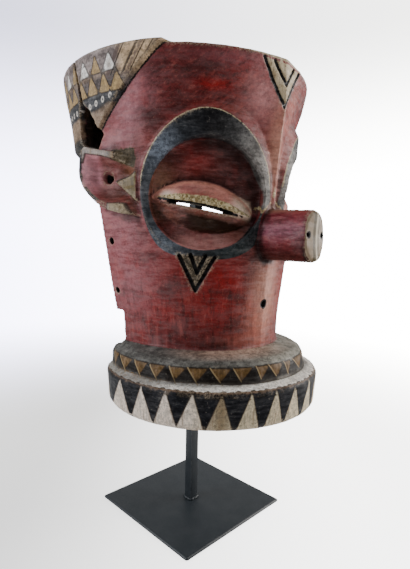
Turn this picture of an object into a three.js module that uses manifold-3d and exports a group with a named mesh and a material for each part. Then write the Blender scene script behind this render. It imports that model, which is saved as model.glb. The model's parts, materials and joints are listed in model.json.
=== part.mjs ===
// A carved wooden helmet mask on its museum stand: a square steel plate, a square steel post
// with a small head plate, and the mask, whose crown rests on that head plate.
// Millimetres, Z up, origin at the centre of the plate's underside. The face looks along -Y,
// so the mask's own right side, with the split, is at -X.

import * as THREE from 'three';
import { mergeVertices } from 'three/addons/utils/BufferGeometryUtils.js';
import Module from 'manifold-3d';

// Stand
const PLATE_SIDE = 160;
const PLATE_THICKNESS = 4;
const PLATE_CORNER_RADIUS = 3;
const POST_SIDE = 12;
const HEAD_PLATE_SIDE = 50;
const HEAD_PLATE_THICKNESS = 4;
const FIT_GAP = 0.3;

// Head: its section at each height. The section is a rounded oval whose front runs in two
// flat planes to the keel, the edge down the middle of the forehead.
// Each row is height, half width, half depth, depth of the centre, depth of the keel, squareness.
const HEAD_SECTIONS = [
  [204, 91, 118, 14, -105, 2.25],
  [226, 91, 118, 14, -105.5, 2.25],
  [250, 93.5, 121, 16.5, -107.5, 2.25],
  [275, 99, 125, 18.5, -109.5, 2.25],
  [300, 104, 129.5, 20, -111.5, 2.22],
  [330, 109.5, 132, 20, -113.5, 2.15],
  [360, 115.5, 131.5, 20, -116.5, 2.06],
  [400, 123.5, 129.5, 19.5, -120, 2],
  [440, 130, 128.5, 19, -124.7, 2],
  [460, 133, 130, 19, -127.6, 2],
  [476, 135.5, 136, 18.5, -128.8, 2],
  [490, 138, 141, 18, -129.3, 2],
  [510, 141, 145, 18, -129.5, 2],
];
const HEAD_HEIGHTS = [
  204, 219, 235, 250, 266, 284, 302, 320, 340, 360, 380, 400, 420, 440, 455, 470, 485, 498,
];
const HEAD_POINTS = 60;
const RIM_HEIGHT = 508.4;
const RIM_PEAK = 3;
const RIM_PEAK_SPREAD = 16;
const CROWN_CENTRE = 18;
const CROWN_RISE = 20;
const CROWN_STEPS = [[0.985, 0.06], [0.84, 0.3], [0.55, 0.72], [0.25, 0.95]];

// Inside of the head
const WALL = 11;
const SOCKET_GIVE = { give: 8, full: 0.9, none: 1.6 };
const HOLLOW_HEIGHTS = [140, 204, 235, 265, 295, 325, 350, 375, 400, 425, 450, 475, 498];
const HOLLOW_POINTS = 40;
const CEILING_STEPS = [[0.8, 509], [0.42, 514]];

// Where the back of the mask is open: from below the cap down to the foot of the collar
const CAP_FOOT = 430;
const COLLAR_BACK = 34;
const NECK_BACK = 17;
const NECK_NOTCH = 253;
const CHEEK_BACK = 30;

// Hair cap: it stands proud of the head behind a slanting hairline
const CAP_PROUD = 4.2;
const HAIRLINE_TOP = [-69, 508];
const HAIRLINE_FOOT = [8, 438];
const CAP_HEIGHTS = [430, 433, 445, 460, 475, 490, 511];
const CAP_FOOT_CHAMFER = 3;
const CAP_CROWN = [[0.985, 511.8], [0.9, 512], [0.55, 518], [0.25, 522]];
const HAIRLINE_REACH = { low: 400, high: 560, back: 300, halfWidth: 250 };

// Collar: a round platform in two tiers, set forward of the neck, with a sloping top.
// Each row is radius, height, depth of the centre.
const COLLAR_PROFILE = [
  [117.5, 152, -32],
  [120.5, 156, -32],
  [122.7, 186, -32],
  [121, 190.5, -31.5],
  [113.4, 193.5, -25.5],
  [112.6, 206, -24.5],
  [110, 211, -24.5],
  [103, 215, -24.5],
];
const COLLAR_TOP = 213;
const NECK_JOINT = 219.5;
const NECK_JOINT_PROUD = 0.8;

// Eye sockets: a flat raised band around a sunk dish on each side of the keel, in a plane that
// faces SOCKET_BEARING away from the front. u runs towards the nose, v up from SOCKET_HEIGHT.
const SOCKET_BEARING = 39;
const SOCKET_HEIGHT = 385;
const SOCKET_RIM = { u: 2.3, v: -0.7, halfWidth: 64.6, halfHeight: 70.4, upper: 1.88, lower: 2.35 };
const SOCKET_DISH = { u: 3.5, v: -9, halfWidth: 58.2, halfHeight: 55.6, upper: 2.08, lower: 2.1 };
const BAND_PROUD = 2.8;
const BROW_PROUD = 5.3;
const BROW_DIRECTION = 58;
const NOSE_SIDE_PROUD = 3;
const DISH_DEPTH = 6;
const DISH_STEP_LEAN = 2.5;
const DISH_SAG = 2.5;
const BAND_FOOT = { skin: -1.5, root: -9, floor: -14, inset: -5 };
const SOCKET_POINTS = 36;

// Eyes: an almond that swells out of the dish and a narrow slit through it
const EYE = { u: 1.4, v: -20, halfLength: 52, up: 24.2, down: 27.2, tilt: -10.5 };
const EYE_FOOT_DEPTH = 9.5;
const EYE_SWELL = [[0.8, -4], [0.48, 0.5], [0.15, 3]];
const SLIT = { from: -44, to: 36, offset: -1.6, halfHeight: 2.5 };

// Nested V cuts below each socket and on the forehead
const CUT_WIDTH = 3.8;
const CUT_DEPTH = 5;
const TEAR_CORNERS = [[-23.6, -69], [11, -70.5], [-6.9, -103.6]];
const TEAR_INNER = [[-12.5, -68], [2, -69], [-5.8, -86]];
const FOREHEAD_CUT = { halfWidth: 28.8, top: 507, apex: 465.8 };
const FOREHEAD_INNER_CUT = { halfWidth: 15.5, top: 506, apex: 487 };

// Nose: a tube that stands straight out, taller than it is wide, with a wedge end
const NOSE = { root: -98, shoulder: -165, end: -167, ridge: -169.6, halfWidth: 17.2 };
const NOSE_HEIGHTS = [[366.5, 312.8], [362.5, 311.3], [358.5, 314]];
const NOSE_POINTS = 16;
const NOSTRIL = { offset: 12.2, height: 338, radius: 2.2, depth: 12 };

// Ears: a C-shaped cup on each side, in the plane from its front line to its outer edge.
// u runs from the front line to the outer edge, the second number is the height.
const EAR_FRONT = [-113, -35];
const EAR_OUTER = [-145, 22];
const EAR_OUTLINE = [
  [-8, 412], [3.3, 414], [30.6, 418.5], [59.5, 424.3], [64, 420], [65.8, 400], [64.5, 391.5], [61, 383.6],
  [54.3, 375.6], [45.2, 367.4], [35, 361.3], [18.2, 357.2], [-8, 353.5],
];
const EAR_CUP = [
  [4, 401], [24, 411], [41, 415.5], [58.5, 418], [61, 410], [62.3, 400], [60.5, 391], [57, 384.5],
  [50.5, 377.5], [42.5, 371], [32.5, 367], [1, 366.5], [1.5, 384],
];
const EAR_THICKNESS = 32;
const EAR_CUP_DEPTH = 11;
const EAR_CUP_FLOOR = 0.62;
const EAR_CUP_MIDDLE = [33, 391];
const TRAGUS = [[27.7, 388.9], [3, 395.5], [0, 368]];
const TRAGUS_TIP_DEPTH = 8.5;
const TRAGUS_ROOT_DEPTH = 16;
const EAR_HOLE = { depth: 3, height: 394, halfWidth: 5.2, halfHeight: 6.4, reach: [-160, -85] };
const EAR_ROOT_SLOPE = 0.9;

// Drilled holes: bearing from the front, height, radius
const HOLES = [[-87.9, 330, 3.6], [-90.7, 276, 3.2], [87.9, 330, 3.6], [90.7, 276, 3.2], [0, 266, 3.8]];

// Split in the cap, from the rim down to a lost piece above the right ear.
// Each point is a bearing from the front and a height.
const SPLIT = [[-96.9, 540], [-95.7, 540], [-92.6, 468], [-94.8, 468]];
const LOST_PIECE = [
  [-94.2, 474], [-92.8, 470], [-88.2, 461], [-85.5, 450], [-82.5, 437], [-84.3, 432.5], [-87.5, 424],
  [-98.2, 424], [-98.9, 440], [-97.9, 453], [-95.9, 466],
];

const wasm = await Module();
wasm.setup();
const radians = THREE.MathUtils.degToRad;

// Cubic through the rows, so the skin runs smoothly from one height to the next
function sectionAt(height) {
  const rows = HEAD_SECTIONS;
  const last = rows.length - 1;
  const z = THREE.MathUtils.clamp(height, rows[0][0], rows[last][0]);
  let i = 0;
  while (i < last - 1 && z > rows[i + 1][0]) i += 1;
  const slope = (row, column) => {
    const below = rows[Math.max(row - 1, 0)];
    const above = rows[Math.min(row + 1, last)];
    return (above[column] - below[column]) / (above[0] - below[0]);
  };
  const span = rows[i + 1][0] - rows[i][0];
  const t = (z - rows[i][0]) / span;
  return [1, 2, 3, 4, 5].map((column) => {
    const rise = 3 * t ** 2 - 2 * t ** 3;
    const value = (1 - rise) * rows[i][column] + rise * rows[i + 1][column];
    const lean = (t ** 3 - 2 * t ** 2 + t) * slope(i, column) + (t ** 3 - t ** 2) * slope(i + 1, column);
    return value + lean * span;
  });
}

// Distance from a section's centre to its oval
function ovalReach(bearing, [halfWidth, halfDepth, , , squareness]) {
  const across = Math.abs(Math.sin(bearing)) / halfWidth;
  const along = Math.abs(Math.cos(bearing)) / halfDepth;
  return 1 / (across ** squareness + along ** squareness) ** (1 / squareness);
}

// Where the flat plane from the keel meets the oval: its bearing, its width and its depth
const touchLines = new Map();
function touchLine(height) {
  if (!touchLines.has(height)) {
    const section = sectionAt(height);
    const keelReach = section[2] - section[3];
    let best = { slope: Infinity };
    for (let degrees = 2; degrees < 88; degrees += 1) {
      const bearing = radians(degrees);
      const r = ovalReach(bearing, section);
      const width = r * Math.sin(bearing);
      const depth = r * Math.cos(bearing);
      const slope = (keelReach - depth) / width;
      if (slope < best.slope) best = { slope, bearing, width, depth };
    }
    touchLines.set(height, { section, keelReach, ...best });
  }
  return touchLines.get(height);
}

// Distance from a section's centre to the skin
function skinReach(bearing, height) {
  const { section, keelReach, bearing: touch, width, depth } = touchLine(height);
  const turn = Math.abs(Math.atan2(Math.sin(bearing), Math.cos(bearing)));
  if (keelReach <= section[1] || turn >= touch) return ovalReach(bearing, section);
  return (keelReach * width) / (Math.cos(turn) * width + Math.sin(turn) * (keelReach - depth));
}

function skinPoint(bearing, height, proud = 0) {
  const r = skinReach(bearing, height) + proud;
  return [r * Math.sin(bearing), sectionAt(height)[2] - r * Math.cos(bearing), height];
}

function bearings(count) {
  return Array.from({ length: count }, (_, i) => (2 * Math.PI * i) / count);
}

function makeSolid(points, triangles) {
  let volume = 0;
  for (const triangle of triangles) {
    const [p, q, r] = triangle.map((corner) => new THREE.Vector3(...points[corner]));
    volume += p.dot(q.cross(r));
  }
  const outward = volume < 0 ? triangles.map(([a, b, c]) => [a, c, b]) : triangles;
  return new wasm.Manifold(new wasm.Mesh({
    numProp: 3,
    vertProperties: new Float32Array(points.flat()),
    triVerts: new Uint32Array(outward.flat()),
  }));
}

// A solid through loops of equal length. A ring joins its last loop to its first; any other
// solid closes both end loops with a fan.
function loft(loops, ring = false) {
  const count = loops[0].length;
  const points = loops.flat();
  const triangles = [];
  const bands = ring ? loops.length : loops.length - 1;
  for (let j = 0; j < bands; j += 1) {
    const lower = j * count;
    const upper = ((j + 1) % loops.length) * count;
    for (let i = 0; i < count; i += 1) {
      const next = (i + 1) % count;
      triangles.push([lower + i, lower + next, upper + next], [lower + i, upper + next, upper + i]);
    }
  }
  if (ring) return makeSolid(points, triangles);
  for (const loop of [0, loops.length - 1]) {
    const start = loop * count;
    const middle = [0, 1, 2].map((axis) => loops[loop].reduce((sum, p) => sum + p[axis], 0) / count);
    points.push(middle);
    for (let i = 0; i < count; i += 1) {
      const edge = [start + i, start + ((i + 1) % count)];
      if (loop === 0) edge.reverse();
      triangles.push([...edge, points.length - 1]);
    }
  }
  return makeSolid(points, triangles);
}

function fromGeometry(geometry) {
  const bare = geometry.clone();
  bare.deleteAttribute('normal');
  bare.deleteAttribute('uv');
  const merged = mergeVertices(bare, 1e-4);
  return new wasm.Manifold(new wasm.Mesh({
    numProp: 3,
    vertProperties: new Float32Array(merged.getAttribute('position').array),
    triVerts: new Uint32Array(merged.getIndex().array),
  }));
}

function toGeometry(body) {
  const { vertProperties, triVerts } = body.getMesh();
  const geometry = new THREE.BufferGeometry();
  geometry.setAttribute('position', new THREE.BufferAttribute(vertProperties, 3));
  geometry.setIndex(new THREE.BufferAttribute(triVerts, 1));
  geometry.computeVertexNormals();
  return geometry;
}

function boxBetween([x0, y0, z0], [x1, y1, z1]) {
  const geometry = new THREE.BoxGeometry(x1 - x0, y1 - y0, z1 - z0);
  geometry.translate((x0 + x1) / 2, (y0 + y1) / 2, (z0 + z1) / 2);
  return fromGeometry(geometry);
}

// A prism along X over an outline of depth and height
function prismAcross(outline, halfWidth) {
  return loft([-halfWidth, halfWidth].map((x) => outline.map(([y, z]) => [x, y, z])));
}

function mirrored(points) {
  return points.map(([x, y, z]) => [-x, y, z]);
}

// The same solid on the mask's right and on its left
function onBothSides(loops, ring = false) {
  return [loft(loops, ring), loft(loops.map(mirrored), ring)];
}

function rimHeight(bearing, base) {
  const turn = THREE.MathUtils.radToDeg(Math.atan2(Math.sin(bearing), Math.cos(bearing)));
  return base + RIM_PEAK * Math.exp(-((turn / RIM_PEAK_SPREAD) ** 2));
}

function crownLoops(rim, top) {
  return CROWN_STEPS.map(([share, rise]) => rim.map(([x, y, z]) => {
    return [x * share, CROWN_CENTRE + (y - CROWN_CENTRE) * share, z + (top - z) * rise];
  }));
}

function headBlock() {
  const loops = HEAD_HEIGHTS.map((z) => bearings(HEAD_POINTS).map((a) => skinPoint(a, z)));
  const rim = bearings(HEAD_POINTS).map((a) => {
    const [x, y] = skinPoint(a, HEAD_SECTIONS.at(-1)[0]);
    return [x, y, rimHeight(a, RIM_HEIGHT)];
  });
  loops.push(rim, ...crownLoops(rim, RIM_HEIGHT + CROWN_RISE));
  return loft(loops);
}

// The same ring of points drawn in towards the middle of the head, at another height
function drawnIn(ring, share, z) {
  return ring.map(([x, y]) => [x * share, CROWN_CENTRE + (y - CROWN_CENTRE) * share, z]);
}

// The cap is the same head, swollen, cut off at its foot and along the hairline. Its edge
// stands above the rim and its crown sinks into the crown of the head.
function hairCap() {
  const loops = CAP_HEIGHTS.map((z, row) => bearings(HEAD_POINTS).map((a) => {
    return skinPoint(a, z, row === 0 ? CAP_PROUD - CAP_FOOT_CHAMFER : CAP_PROUD);
  }));
  const edge = loops.at(-1);
  loops.push(...CAP_CROWN.map(([share, z]) => drawnIn(edge, share, z)));
  const [topDepth, topHeight] = HAIRLINE_TOP;
  const [footDepth, footHeight] = HAIRLINE_FOOT;
  const lean = (topDepth - footDepth) / (topHeight - footHeight);
  const hairline = (z) => topDepth + lean * (z - topHeight);
  const { low, high, back, halfWidth } = HAIRLINE_REACH;
  const behind = [[hairline(low), low], [back, low], [back, high], [hairline(high), high]];
  return loft(loops).intersect(prismAcross(behind, halfWidth));
}

function collar() {
  const loops = COLLAR_PROFILE.map(([radius, z, centre]) => bearings(HEAD_POINTS).map((a) => {
    return [radius * Math.sin(a), centre - radius * Math.cos(a), z];
  }));
  loops.push(bearings(HEAD_POINTS).map((a) => skinPoint(a, NECK_JOINT, NECK_JOINT_PROUD)));
  return loft(loops);
}

// Places a point of a socket's plane: u towards the nose, v up, w outwards
function socketPoint(u, v, w) {
  const bearing = radians(SOCKET_BEARING);
  return [
    u * Math.cos(bearing) - w * Math.sin(bearing),
    -u * Math.sin(bearing) - w * Math.cos(bearing),
    SOCKET_HEIGHT + v,
  ];
}

// How far out the skin lies over a point of the socket's plane
function skinOver(u, v) {
  let inside = 20;
  let outside = 180;
  const centre = sectionAt(SOCKET_HEIGHT + v)[2];
  while (outside - inside > 0.02) {
    const w = (inside + outside) / 2;
    const [x, y, z] = socketPoint(u, v, w);
    const bearing = Math.atan2(x, centre - y);
    if (Math.hypot(x, y - centre) < skinReach(bearing, z)) inside = w;
    else outside = w;
  }
  return inside;
}

function onSkin(u, v, proud) {
  return socketPoint(u, v, skinOver(u, v) + proud);
}

// A point of an oval in the socket's plane, grown by some millimetres
function ovalPoint(oval, turn, grow = 0) {
  const squareness = Math.sin(turn) >= 0 ? oval.upper : oval.lower;
  const round = (value) => Math.sign(value) * Math.abs(value) ** (2 / squareness);
  return [
    oval.u + (oval.halfWidth + grow) * round(Math.cos(turn)),
    oval.v + (oval.halfHeight + grow) * round(Math.sin(turn)),
  ];
}

// The almond's outline, scaled about its middle
function eyePoint(turn, scale) {
  const along = EYE.halfLength * Math.cos(turn);
  const swell = (1 - Math.cos(turn) ** 2) ** 0.75;
  const across = Math.sin(turn) >= 0 ? EYE.up * swell : -EYE.down * swell;
  const tilt = radians(EYE.tilt);
  return [
    EYE.u + scale * (along * Math.cos(tilt) - across * Math.sin(tilt)),
    EYE.v + scale * (along * Math.sin(tilt) + across * Math.cos(tilt)),
  ];
}

function browShare(turn, sharpness) {
  return Math.max(0, Math.cos(turn - radians(BROW_DIRECTION))) ** sharpness;
}

function bandProud(turn) {
  return BAND_PROUD + BROW_PROUD * browShare(turn, 1.5);
}

// The band rises a little towards the dish on the side of the nose
function crestProud(turn) {
  return bandProud(turn) + NOSE_SIDE_PROUD * Math.cos(turn);
}

// How far the slope up to the band reaches: wide between brow and keel, and on the cheek
function bandSkirt(turn) {
  return 5 + 13 * browShare(turn, 6) + 5 * Math.max(0, -Math.sin(turn)) ** 2;
}

function aroundSocket(outline, rise) {
  return bearings(SOCKET_POINTS).map((turn) => onSkin(...outline(turn), rise(turn)));
}

function socketBands() {
  const skirt = (turn) => ovalPoint(SOCKET_RIM, turn, bandSkirt(turn));
  const inner = (turn) => ovalPoint(SOCKET_DISH, turn, BAND_FOOT.inset);
  return onBothSides([
    aroundSocket(skirt, () => BAND_FOOT.skin),
    aroundSocket((turn) => ovalPoint(SOCKET_RIM, turn), bandProud),
    aroundSocket((turn) => ovalPoint(SOCKET_DISH, turn), crestProud),
    aroundSocket(inner, crestProud),
    aroundSocket(inner, () => BAND_FOOT.floor),
    aroundSocket(skirt, () => BAND_FOOT.root),
  ], true);
}

function socketDishes() {
  const between = (turn) => {
    const [u0, v0] = ovalPoint(SOCKET_DISH, turn, -DISH_STEP_LEAN);
    const [u1, v1] = eyePoint(turn, 1);
    return [(u0 + u1) / 2, (v0 + v1) / 2];
  };
  return onBothSides([
    aroundSocket((turn) => ovalPoint(SOCKET_DISH, turn, 1.5), () => 4 * DISH_DEPTH),
    aroundSocket((turn) => ovalPoint(SOCKET_DISH, turn, -DISH_STEP_LEAN), () => -DISH_DEPTH),
    aroundSocket(between, () => -DISH_DEPTH - DISH_SAG),
    aroundSocket((turn) => eyePoint(turn, 1), () => -EYE_FOOT_DEPTH),
    ...EYE_SWELL.map(([scale, proud]) => aroundSocket((turn) => eyePoint(turn, scale), () => proud)),
  ]);
}

function eyeSlits() {
  const middle = (SLIT.from + SLIT.to) / 2;
  const half = (SLIT.to - SLIT.from) / 2;
  const tilt = radians(EYE.tilt);
  const outline = bearings(14).map((turn) => {
    const along = middle + half * Math.cos(turn);
    const across = SLIT.offset + SLIT.halfHeight * Math.sin(turn);
    return [
      EYE.u + along * Math.cos(tilt) - across * Math.sin(tilt),
      EYE.v + along * Math.sin(tilt) + across * Math.cos(tilt),
    ];
  });
  return onBothSides([40, 130].map((w) => outline.map(([u, v]) => socketPoint(u, v, w))));
}

// A V groove along a straight line on the skin, from one place to another
function groove(start, end, outward) {
  const a = new THREE.Vector3(...start);
  const b = new THREE.Vector3(...end);
  const out = new THREE.Vector3(...outward).normalize();
  const along = b.clone().sub(a).normalize();
  const side = along.clone().cross(out).normalize();
  const reach = along.clone().multiplyScalar(CUT_WIDTH / 2);
  const ends = [a.sub(reach), b.add(reach)];
  const section = [[-1, 2], [1, 2], [1, 0], [0, -1], [-1, 0]];
  return ends.map((place) => section.map(([across, rise]) => {
    const point = place.clone().addScaledVector(side, (across * CUT_WIDTH) / 2);
    return point.addScaledVector(out, rise * CUT_DEPTH).toArray();
  }));
}

function tearCuts() {
  const outward = socketPoint(0, -SOCKET_HEIGHT, 1);
  const cuts = [];
  for (const [left, right, apex] of [TEAR_CORNERS, TEAR_INNER]) {
    for (const corner of [left, right]) {
      cuts.push(...onBothSides(groove(onSkin(...corner, 0), onSkin(...apex, 0), outward)));
    }
  }
  return cuts;
}

function foreheadCuts() {
  return [FOREHEAD_CUT, FOREHEAD_INNER_CUT].flatMap(({ halfWidth, top, apex }) => {
    const centre = sectionAt(top)[2];
    const bearing = Math.asin(halfWidth / skinReach(radians(8), top));
    const start = skinPoint(-bearing, top);
    const end = skinPoint(0, apex);
    const outward = [start[0] * 0.5, start[1] - centre, 0];
    return onBothSides(groove(start, end, outward));
  });
}

function nose() {
  const section = (y, halfWidth, [top, bottom]) => bearings(NOSE_POINTS).map((a) => {
    const middle = (top + bottom) / 2;
    const round = (value) => Math.sign(value) * Math.abs(value) ** (2 / 2.3);
    return [halfWidth * round(Math.sin(a)), y, middle + ((top - bottom) / 2) * round(Math.cos(a))];
  });
  const loops = [
    section(NOSE.root, NOSE.halfWidth + 0.8, NOSE_HEIGHTS[0]),
    section(NOSE.shoulder, NOSE.halfWidth, NOSE_HEIGHTS[1]),
    section(NOSE.end, NOSE.halfWidth - 1, NOSE_HEIGHTS[2]),
  ];
  const wedge = NOSE.end - NOSE.ridge;
  loops[2] = loops[2].map(([x, y, z]) => [x, y - wedge * (1 - Math.abs(x) / NOSE.halfWidth), z]);
  return loft(loops);
}

function nostrils() {
  return [-1, 1].map((side) => {
    const drill = new THREE.CylinderGeometry(NOSTRIL.radius, NOSTRIL.radius, 2 * NOSTRIL.depth, 10);
    drill.translate(side * NOSTRIL.offset, NOSE.end, NOSTRIL.height);
    return fromGeometry(drill);
  });
}

// Places a point of an ear's plane: u from the front line to the outer edge, w outwards
function earPoint(u, height, w) {
  const length = Math.hypot(EAR_OUTER[0] - EAR_FRONT[0], EAR_OUTER[1] - EAR_FRONT[1]);
  const tx = (EAR_OUTER[0] - EAR_FRONT[0]) / length;
  const ty = (EAR_OUTER[1] - EAR_FRONT[1]) / length;
  return [EAR_FRONT[0] + u * tx - w * ty, EAR_FRONT[1] + u * ty + w * tx, height];
}

function ears() {
  const sunk = (u) => Math.min(0, u * EAR_ROOT_SLOPE);
  return onBothSides([0, -EAR_THICKNESS].map((w) => {
    return EAR_OUTLINE.map(([u, z]) => earPoint(u, z, w + sunk(u)));
  }));
}

function earCups() {
  const shrunk = (point, share) => point.map((value, axis) => {
    return EAR_CUP_MIDDLE[axis] + (value - EAR_CUP_MIDDLE[axis]) * share;
  });
  return onBothSides([
    EAR_CUP.map(([u, z]) => earPoint(u, z, 6)),
    EAR_CUP.map(([u, z]) => earPoint(u, z, -1)),
    EAR_CUP.map((p) => earPoint(...shrunk(p, EAR_CUP_FLOOR), -EAR_CUP_DEPTH)),
  ]);
}

// The tragus rises from the bottom of the cup to the cheek
function tragi() {
  const [tip, upper, lower] = TRAGUS;
  const top = [earPoint(...tip, -TRAGUS_TIP_DEPTH), earPoint(...upper, -1), earPoint(...lower, -1)];
  const foot = TRAGUS.map(([u, z]) => earPoint(u, z, -TRAGUS_ROOT_DEPTH));
  return onBothSides([foot, top]);
}

function earHoles() {
  const ring = bearings(12).map((a) => {
    const z = EAR_HOLE.height + EAR_HOLE.halfHeight * Math.sin(a);
    return [EAR_HOLE.depth + EAR_HOLE.halfWidth * Math.cos(a), z];
  });
  return onBothSides(EAR_HOLE.reach.map((x) => ring.map(([y, z]) => [x, y, z])));
}

// Through the wall, square to it, over an outline of bearings and heights
function throughWall(outline, depth = 45) {
  return loft([25, -depth].map((proud) => outline.map(([degrees, z]) => {
    const [x, y] = skinPoint(radians(degrees), Math.min(z, RIM_HEIGHT), proud);
    return [x, y, z];
  })));
}

function drilledHoles() {
  return HOLES.map(([degrees, z, radius]) => {
    const perDegree = radians(skinReach(radians(degrees), z));
    const ring = bearings(12).map((a) => {
      return [degrees + (radius * Math.cos(a)) / perDegree, z + radius * Math.sin(a)];
    });
    return throughWall(ring, 25);
  });
}

// How far the inner wall gives way behind each socket, so the dish keeps wood behind it
function socketGive([x, y, z]) {
  const bearing = radians(SOCKET_BEARING);
  const u = Math.abs(x) * -Math.cos(bearing) - y * Math.sin(bearing);
  const du = (u - SOCKET_RIM.u) / (SOCKET_RIM.halfWidth + 6);
  const dv = (z - SOCKET_HEIGHT - SOCKET_RIM.v) / (SOCKET_RIM.halfHeight + 6);
  const { give, full, none } = SOCKET_GIVE;
  const out = du ** 2 + dv ** 2;
  if (y > 0 || out >= none) return 0;
  return give * Math.min(1, (none - out) / (none - full));
}

function hollow() {
  const loops = HOLLOW_HEIGHTS.map((z) => bearings(HOLLOW_POINTS).map((a) => {
    const height = Math.max(z, HEAD_SECTIONS[0][0]);
    const give = socketGive(skinPoint(a, height));
    const [x, y] = skinPoint(a, height, -WALL - give);
    return [x, y, z];
  }));
  for (const [share, z] of CEILING_STEPS) {
    loops.push(drawnIn(loops[HOLLOW_HEIGHTS.length - 1], share, z));
  }
  return loft(loops);
}

function openBack() {
  const far = 400;
  return [
    boxBetween([-far, COLLAR_BACK, 100], [far, far, NECK_JOINT]),
    boxBetween([-far, NECK_BACK, COLLAR_TOP], [far, far, NECK_NOTCH]),
    boxBetween([-far, CHEEK_BACK, NECK_NOTCH - 1], [far, far, CAP_FOOT]),
  ];
}

function maskBody() {
  let body = headBlock().add(hairCap()).add(collar());
  for (const piece of [...socketBands(), ...ears()]) body = body.add(piece);
  for (const cut of [...socketDishes(), ...earCups()]) body = body.subtract(cut);
  for (const piece of [...tragi(), nose()]) body = body.add(piece);
  const cuts = [
    hollow(),
    ...openBack(),
    ...eyeSlits(),
    ...tearCuts(),
    ...foreheadCuts(),
    ...nostrils(),
    ...earHoles(),
    ...drilledHoles(),
    throughWall(SPLIT),
    throughWall(LOST_PIECE),
  ];
  for (const cut of cuts) body = body.subtract(cut);
  return body;
}

function standPlate() {
  const half = PLATE_SIDE / 2 - PLATE_CORNER_RADIUS;
  const shape = new THREE.Shape();
  const corners = [[0, half, half], [1, -half, half], [2, -half, -half], [3, half, -half]];
  for (const [turn, x, y] of corners) {
    shape.absarc(x, y, PLATE_CORNER_RADIUS, (turn * Math.PI) / 2, ((turn + 1) * Math.PI) / 2, false);
  }
  return new THREE.ExtrudeGeometry(shape, {
    depth: PLATE_THICKNESS,
    bevelEnabled: false,
    curveSegments: 5,
  });
}

function standPost() {
  const foot = PLATE_THICKNESS + FIT_GAP;
  const top = CEILING_STEPS.at(-1)[1] - FIT_GAP;
  const under = top - HEAD_PLATE_THICKNESS;
  const halfPost = POST_SIDE / 2;
  const halfHead = HEAD_PLATE_SIDE / 2;
  const bar = boxBetween([-halfPost, -halfPost, foot], [halfPost, halfPost, under + 1]);
  const head = boxBetween([-halfHead, -halfHead, under], [halfHead, halfHead, top]);
  return toGeometry(bar.add(head));
}

function named(name, geometry, look) {
  const mesh = new THREE.Mesh(geometry, new THREE.MeshStandardMaterial(look));
  mesh.name = name;
  return mesh;
}

const steel = { color: 0x2f3034, roughness: 0.55, metalness: 0.6 };
const group = new THREE.Group();
group.add(named('mask', toGeometry(maskBody()), { color: 0x7a2a2c, roughness: 0.6, metalness: 0 }));
group.add(named('stand_post', standPost(), steel));
group.add(named('stand_plate', standPlate(), steel));

export default group;
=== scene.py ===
import json
import math
from functools import partial

import bpy
import numpy as np
from mathutils import Euler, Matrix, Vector

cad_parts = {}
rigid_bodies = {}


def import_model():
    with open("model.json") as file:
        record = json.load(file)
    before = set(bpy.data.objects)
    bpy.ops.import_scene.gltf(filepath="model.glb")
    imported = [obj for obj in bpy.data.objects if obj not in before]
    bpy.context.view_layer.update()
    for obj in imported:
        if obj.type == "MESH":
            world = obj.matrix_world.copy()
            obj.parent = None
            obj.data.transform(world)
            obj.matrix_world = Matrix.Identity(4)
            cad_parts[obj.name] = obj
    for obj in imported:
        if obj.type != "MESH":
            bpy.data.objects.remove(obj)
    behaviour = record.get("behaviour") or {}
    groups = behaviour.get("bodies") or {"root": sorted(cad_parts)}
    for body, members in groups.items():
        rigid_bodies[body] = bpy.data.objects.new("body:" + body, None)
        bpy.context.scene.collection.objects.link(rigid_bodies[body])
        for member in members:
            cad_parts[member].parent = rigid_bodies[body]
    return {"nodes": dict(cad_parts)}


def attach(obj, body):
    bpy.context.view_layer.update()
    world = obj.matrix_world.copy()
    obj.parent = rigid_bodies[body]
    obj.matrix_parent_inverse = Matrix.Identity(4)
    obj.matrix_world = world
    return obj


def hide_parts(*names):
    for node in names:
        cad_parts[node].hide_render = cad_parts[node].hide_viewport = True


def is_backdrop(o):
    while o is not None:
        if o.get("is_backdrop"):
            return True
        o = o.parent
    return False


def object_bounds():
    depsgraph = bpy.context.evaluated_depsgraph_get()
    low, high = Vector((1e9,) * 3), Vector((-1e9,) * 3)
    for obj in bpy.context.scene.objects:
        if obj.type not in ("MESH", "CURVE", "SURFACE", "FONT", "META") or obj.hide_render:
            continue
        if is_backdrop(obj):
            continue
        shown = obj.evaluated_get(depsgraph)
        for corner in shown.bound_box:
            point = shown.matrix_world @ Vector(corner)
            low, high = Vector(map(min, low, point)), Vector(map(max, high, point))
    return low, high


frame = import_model()
cad_low, cad_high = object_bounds()


# Stand plate: a square of 4 mm steel, its corners rounded with a file and its edges eased.
# It is sprayed a satin dark grey, and a bright painted highlight runs along its top edges, strongest along
# the front edges.
PLATE_SIDE = 0.16
PLATE_THICKNESS = 0.004
PLATE_CORNER = 0.003
PLATE_EDGE = 0.0008
STEEL_GREY = (0.018, 0.024, 0.029, 1)
STEEL_HIGHLIGHT = (0.42, 0.43, 0.44, 1)

select_nothing = partial(bpy.ops.object.select_all, action="DESELECT")
edit_mode = partial(bpy.ops.object.mode_set, mode="EDIT")
object_mode = partial(bpy.ops.object.mode_set, mode="OBJECT")


def only(piece):
    select_nothing()
    piece.select_set(True)
    bpy.context.view_layer.objects.active = piece


def new_block(name, centre, size):
    select_nothing()
    bpy.ops.mesh.primitive_cube_add(size=1, location=centre, scale=size)
    block = bpy.context.active_object
    block.name = name
    bpy.ops.object.transform_apply()
    return block


def modify(piece, kind, **settings):
    """Gives a piece a modifier with these settings and applies it."""
    modifier = piece.modifiers.new("shape", kind)
    for name, value in settings.items():
        setattr(modifier, name, value)
    bpy.ops.object.modifier_apply(modifier=modifier.name)


def round_edges(piece, width, steps):
    only(piece)
    steepest = math.radians(40)
    modify(piece, "BEVEL", width=width, segments=steps, limit_method="ANGLE", angle_limit=steepest)


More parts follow.
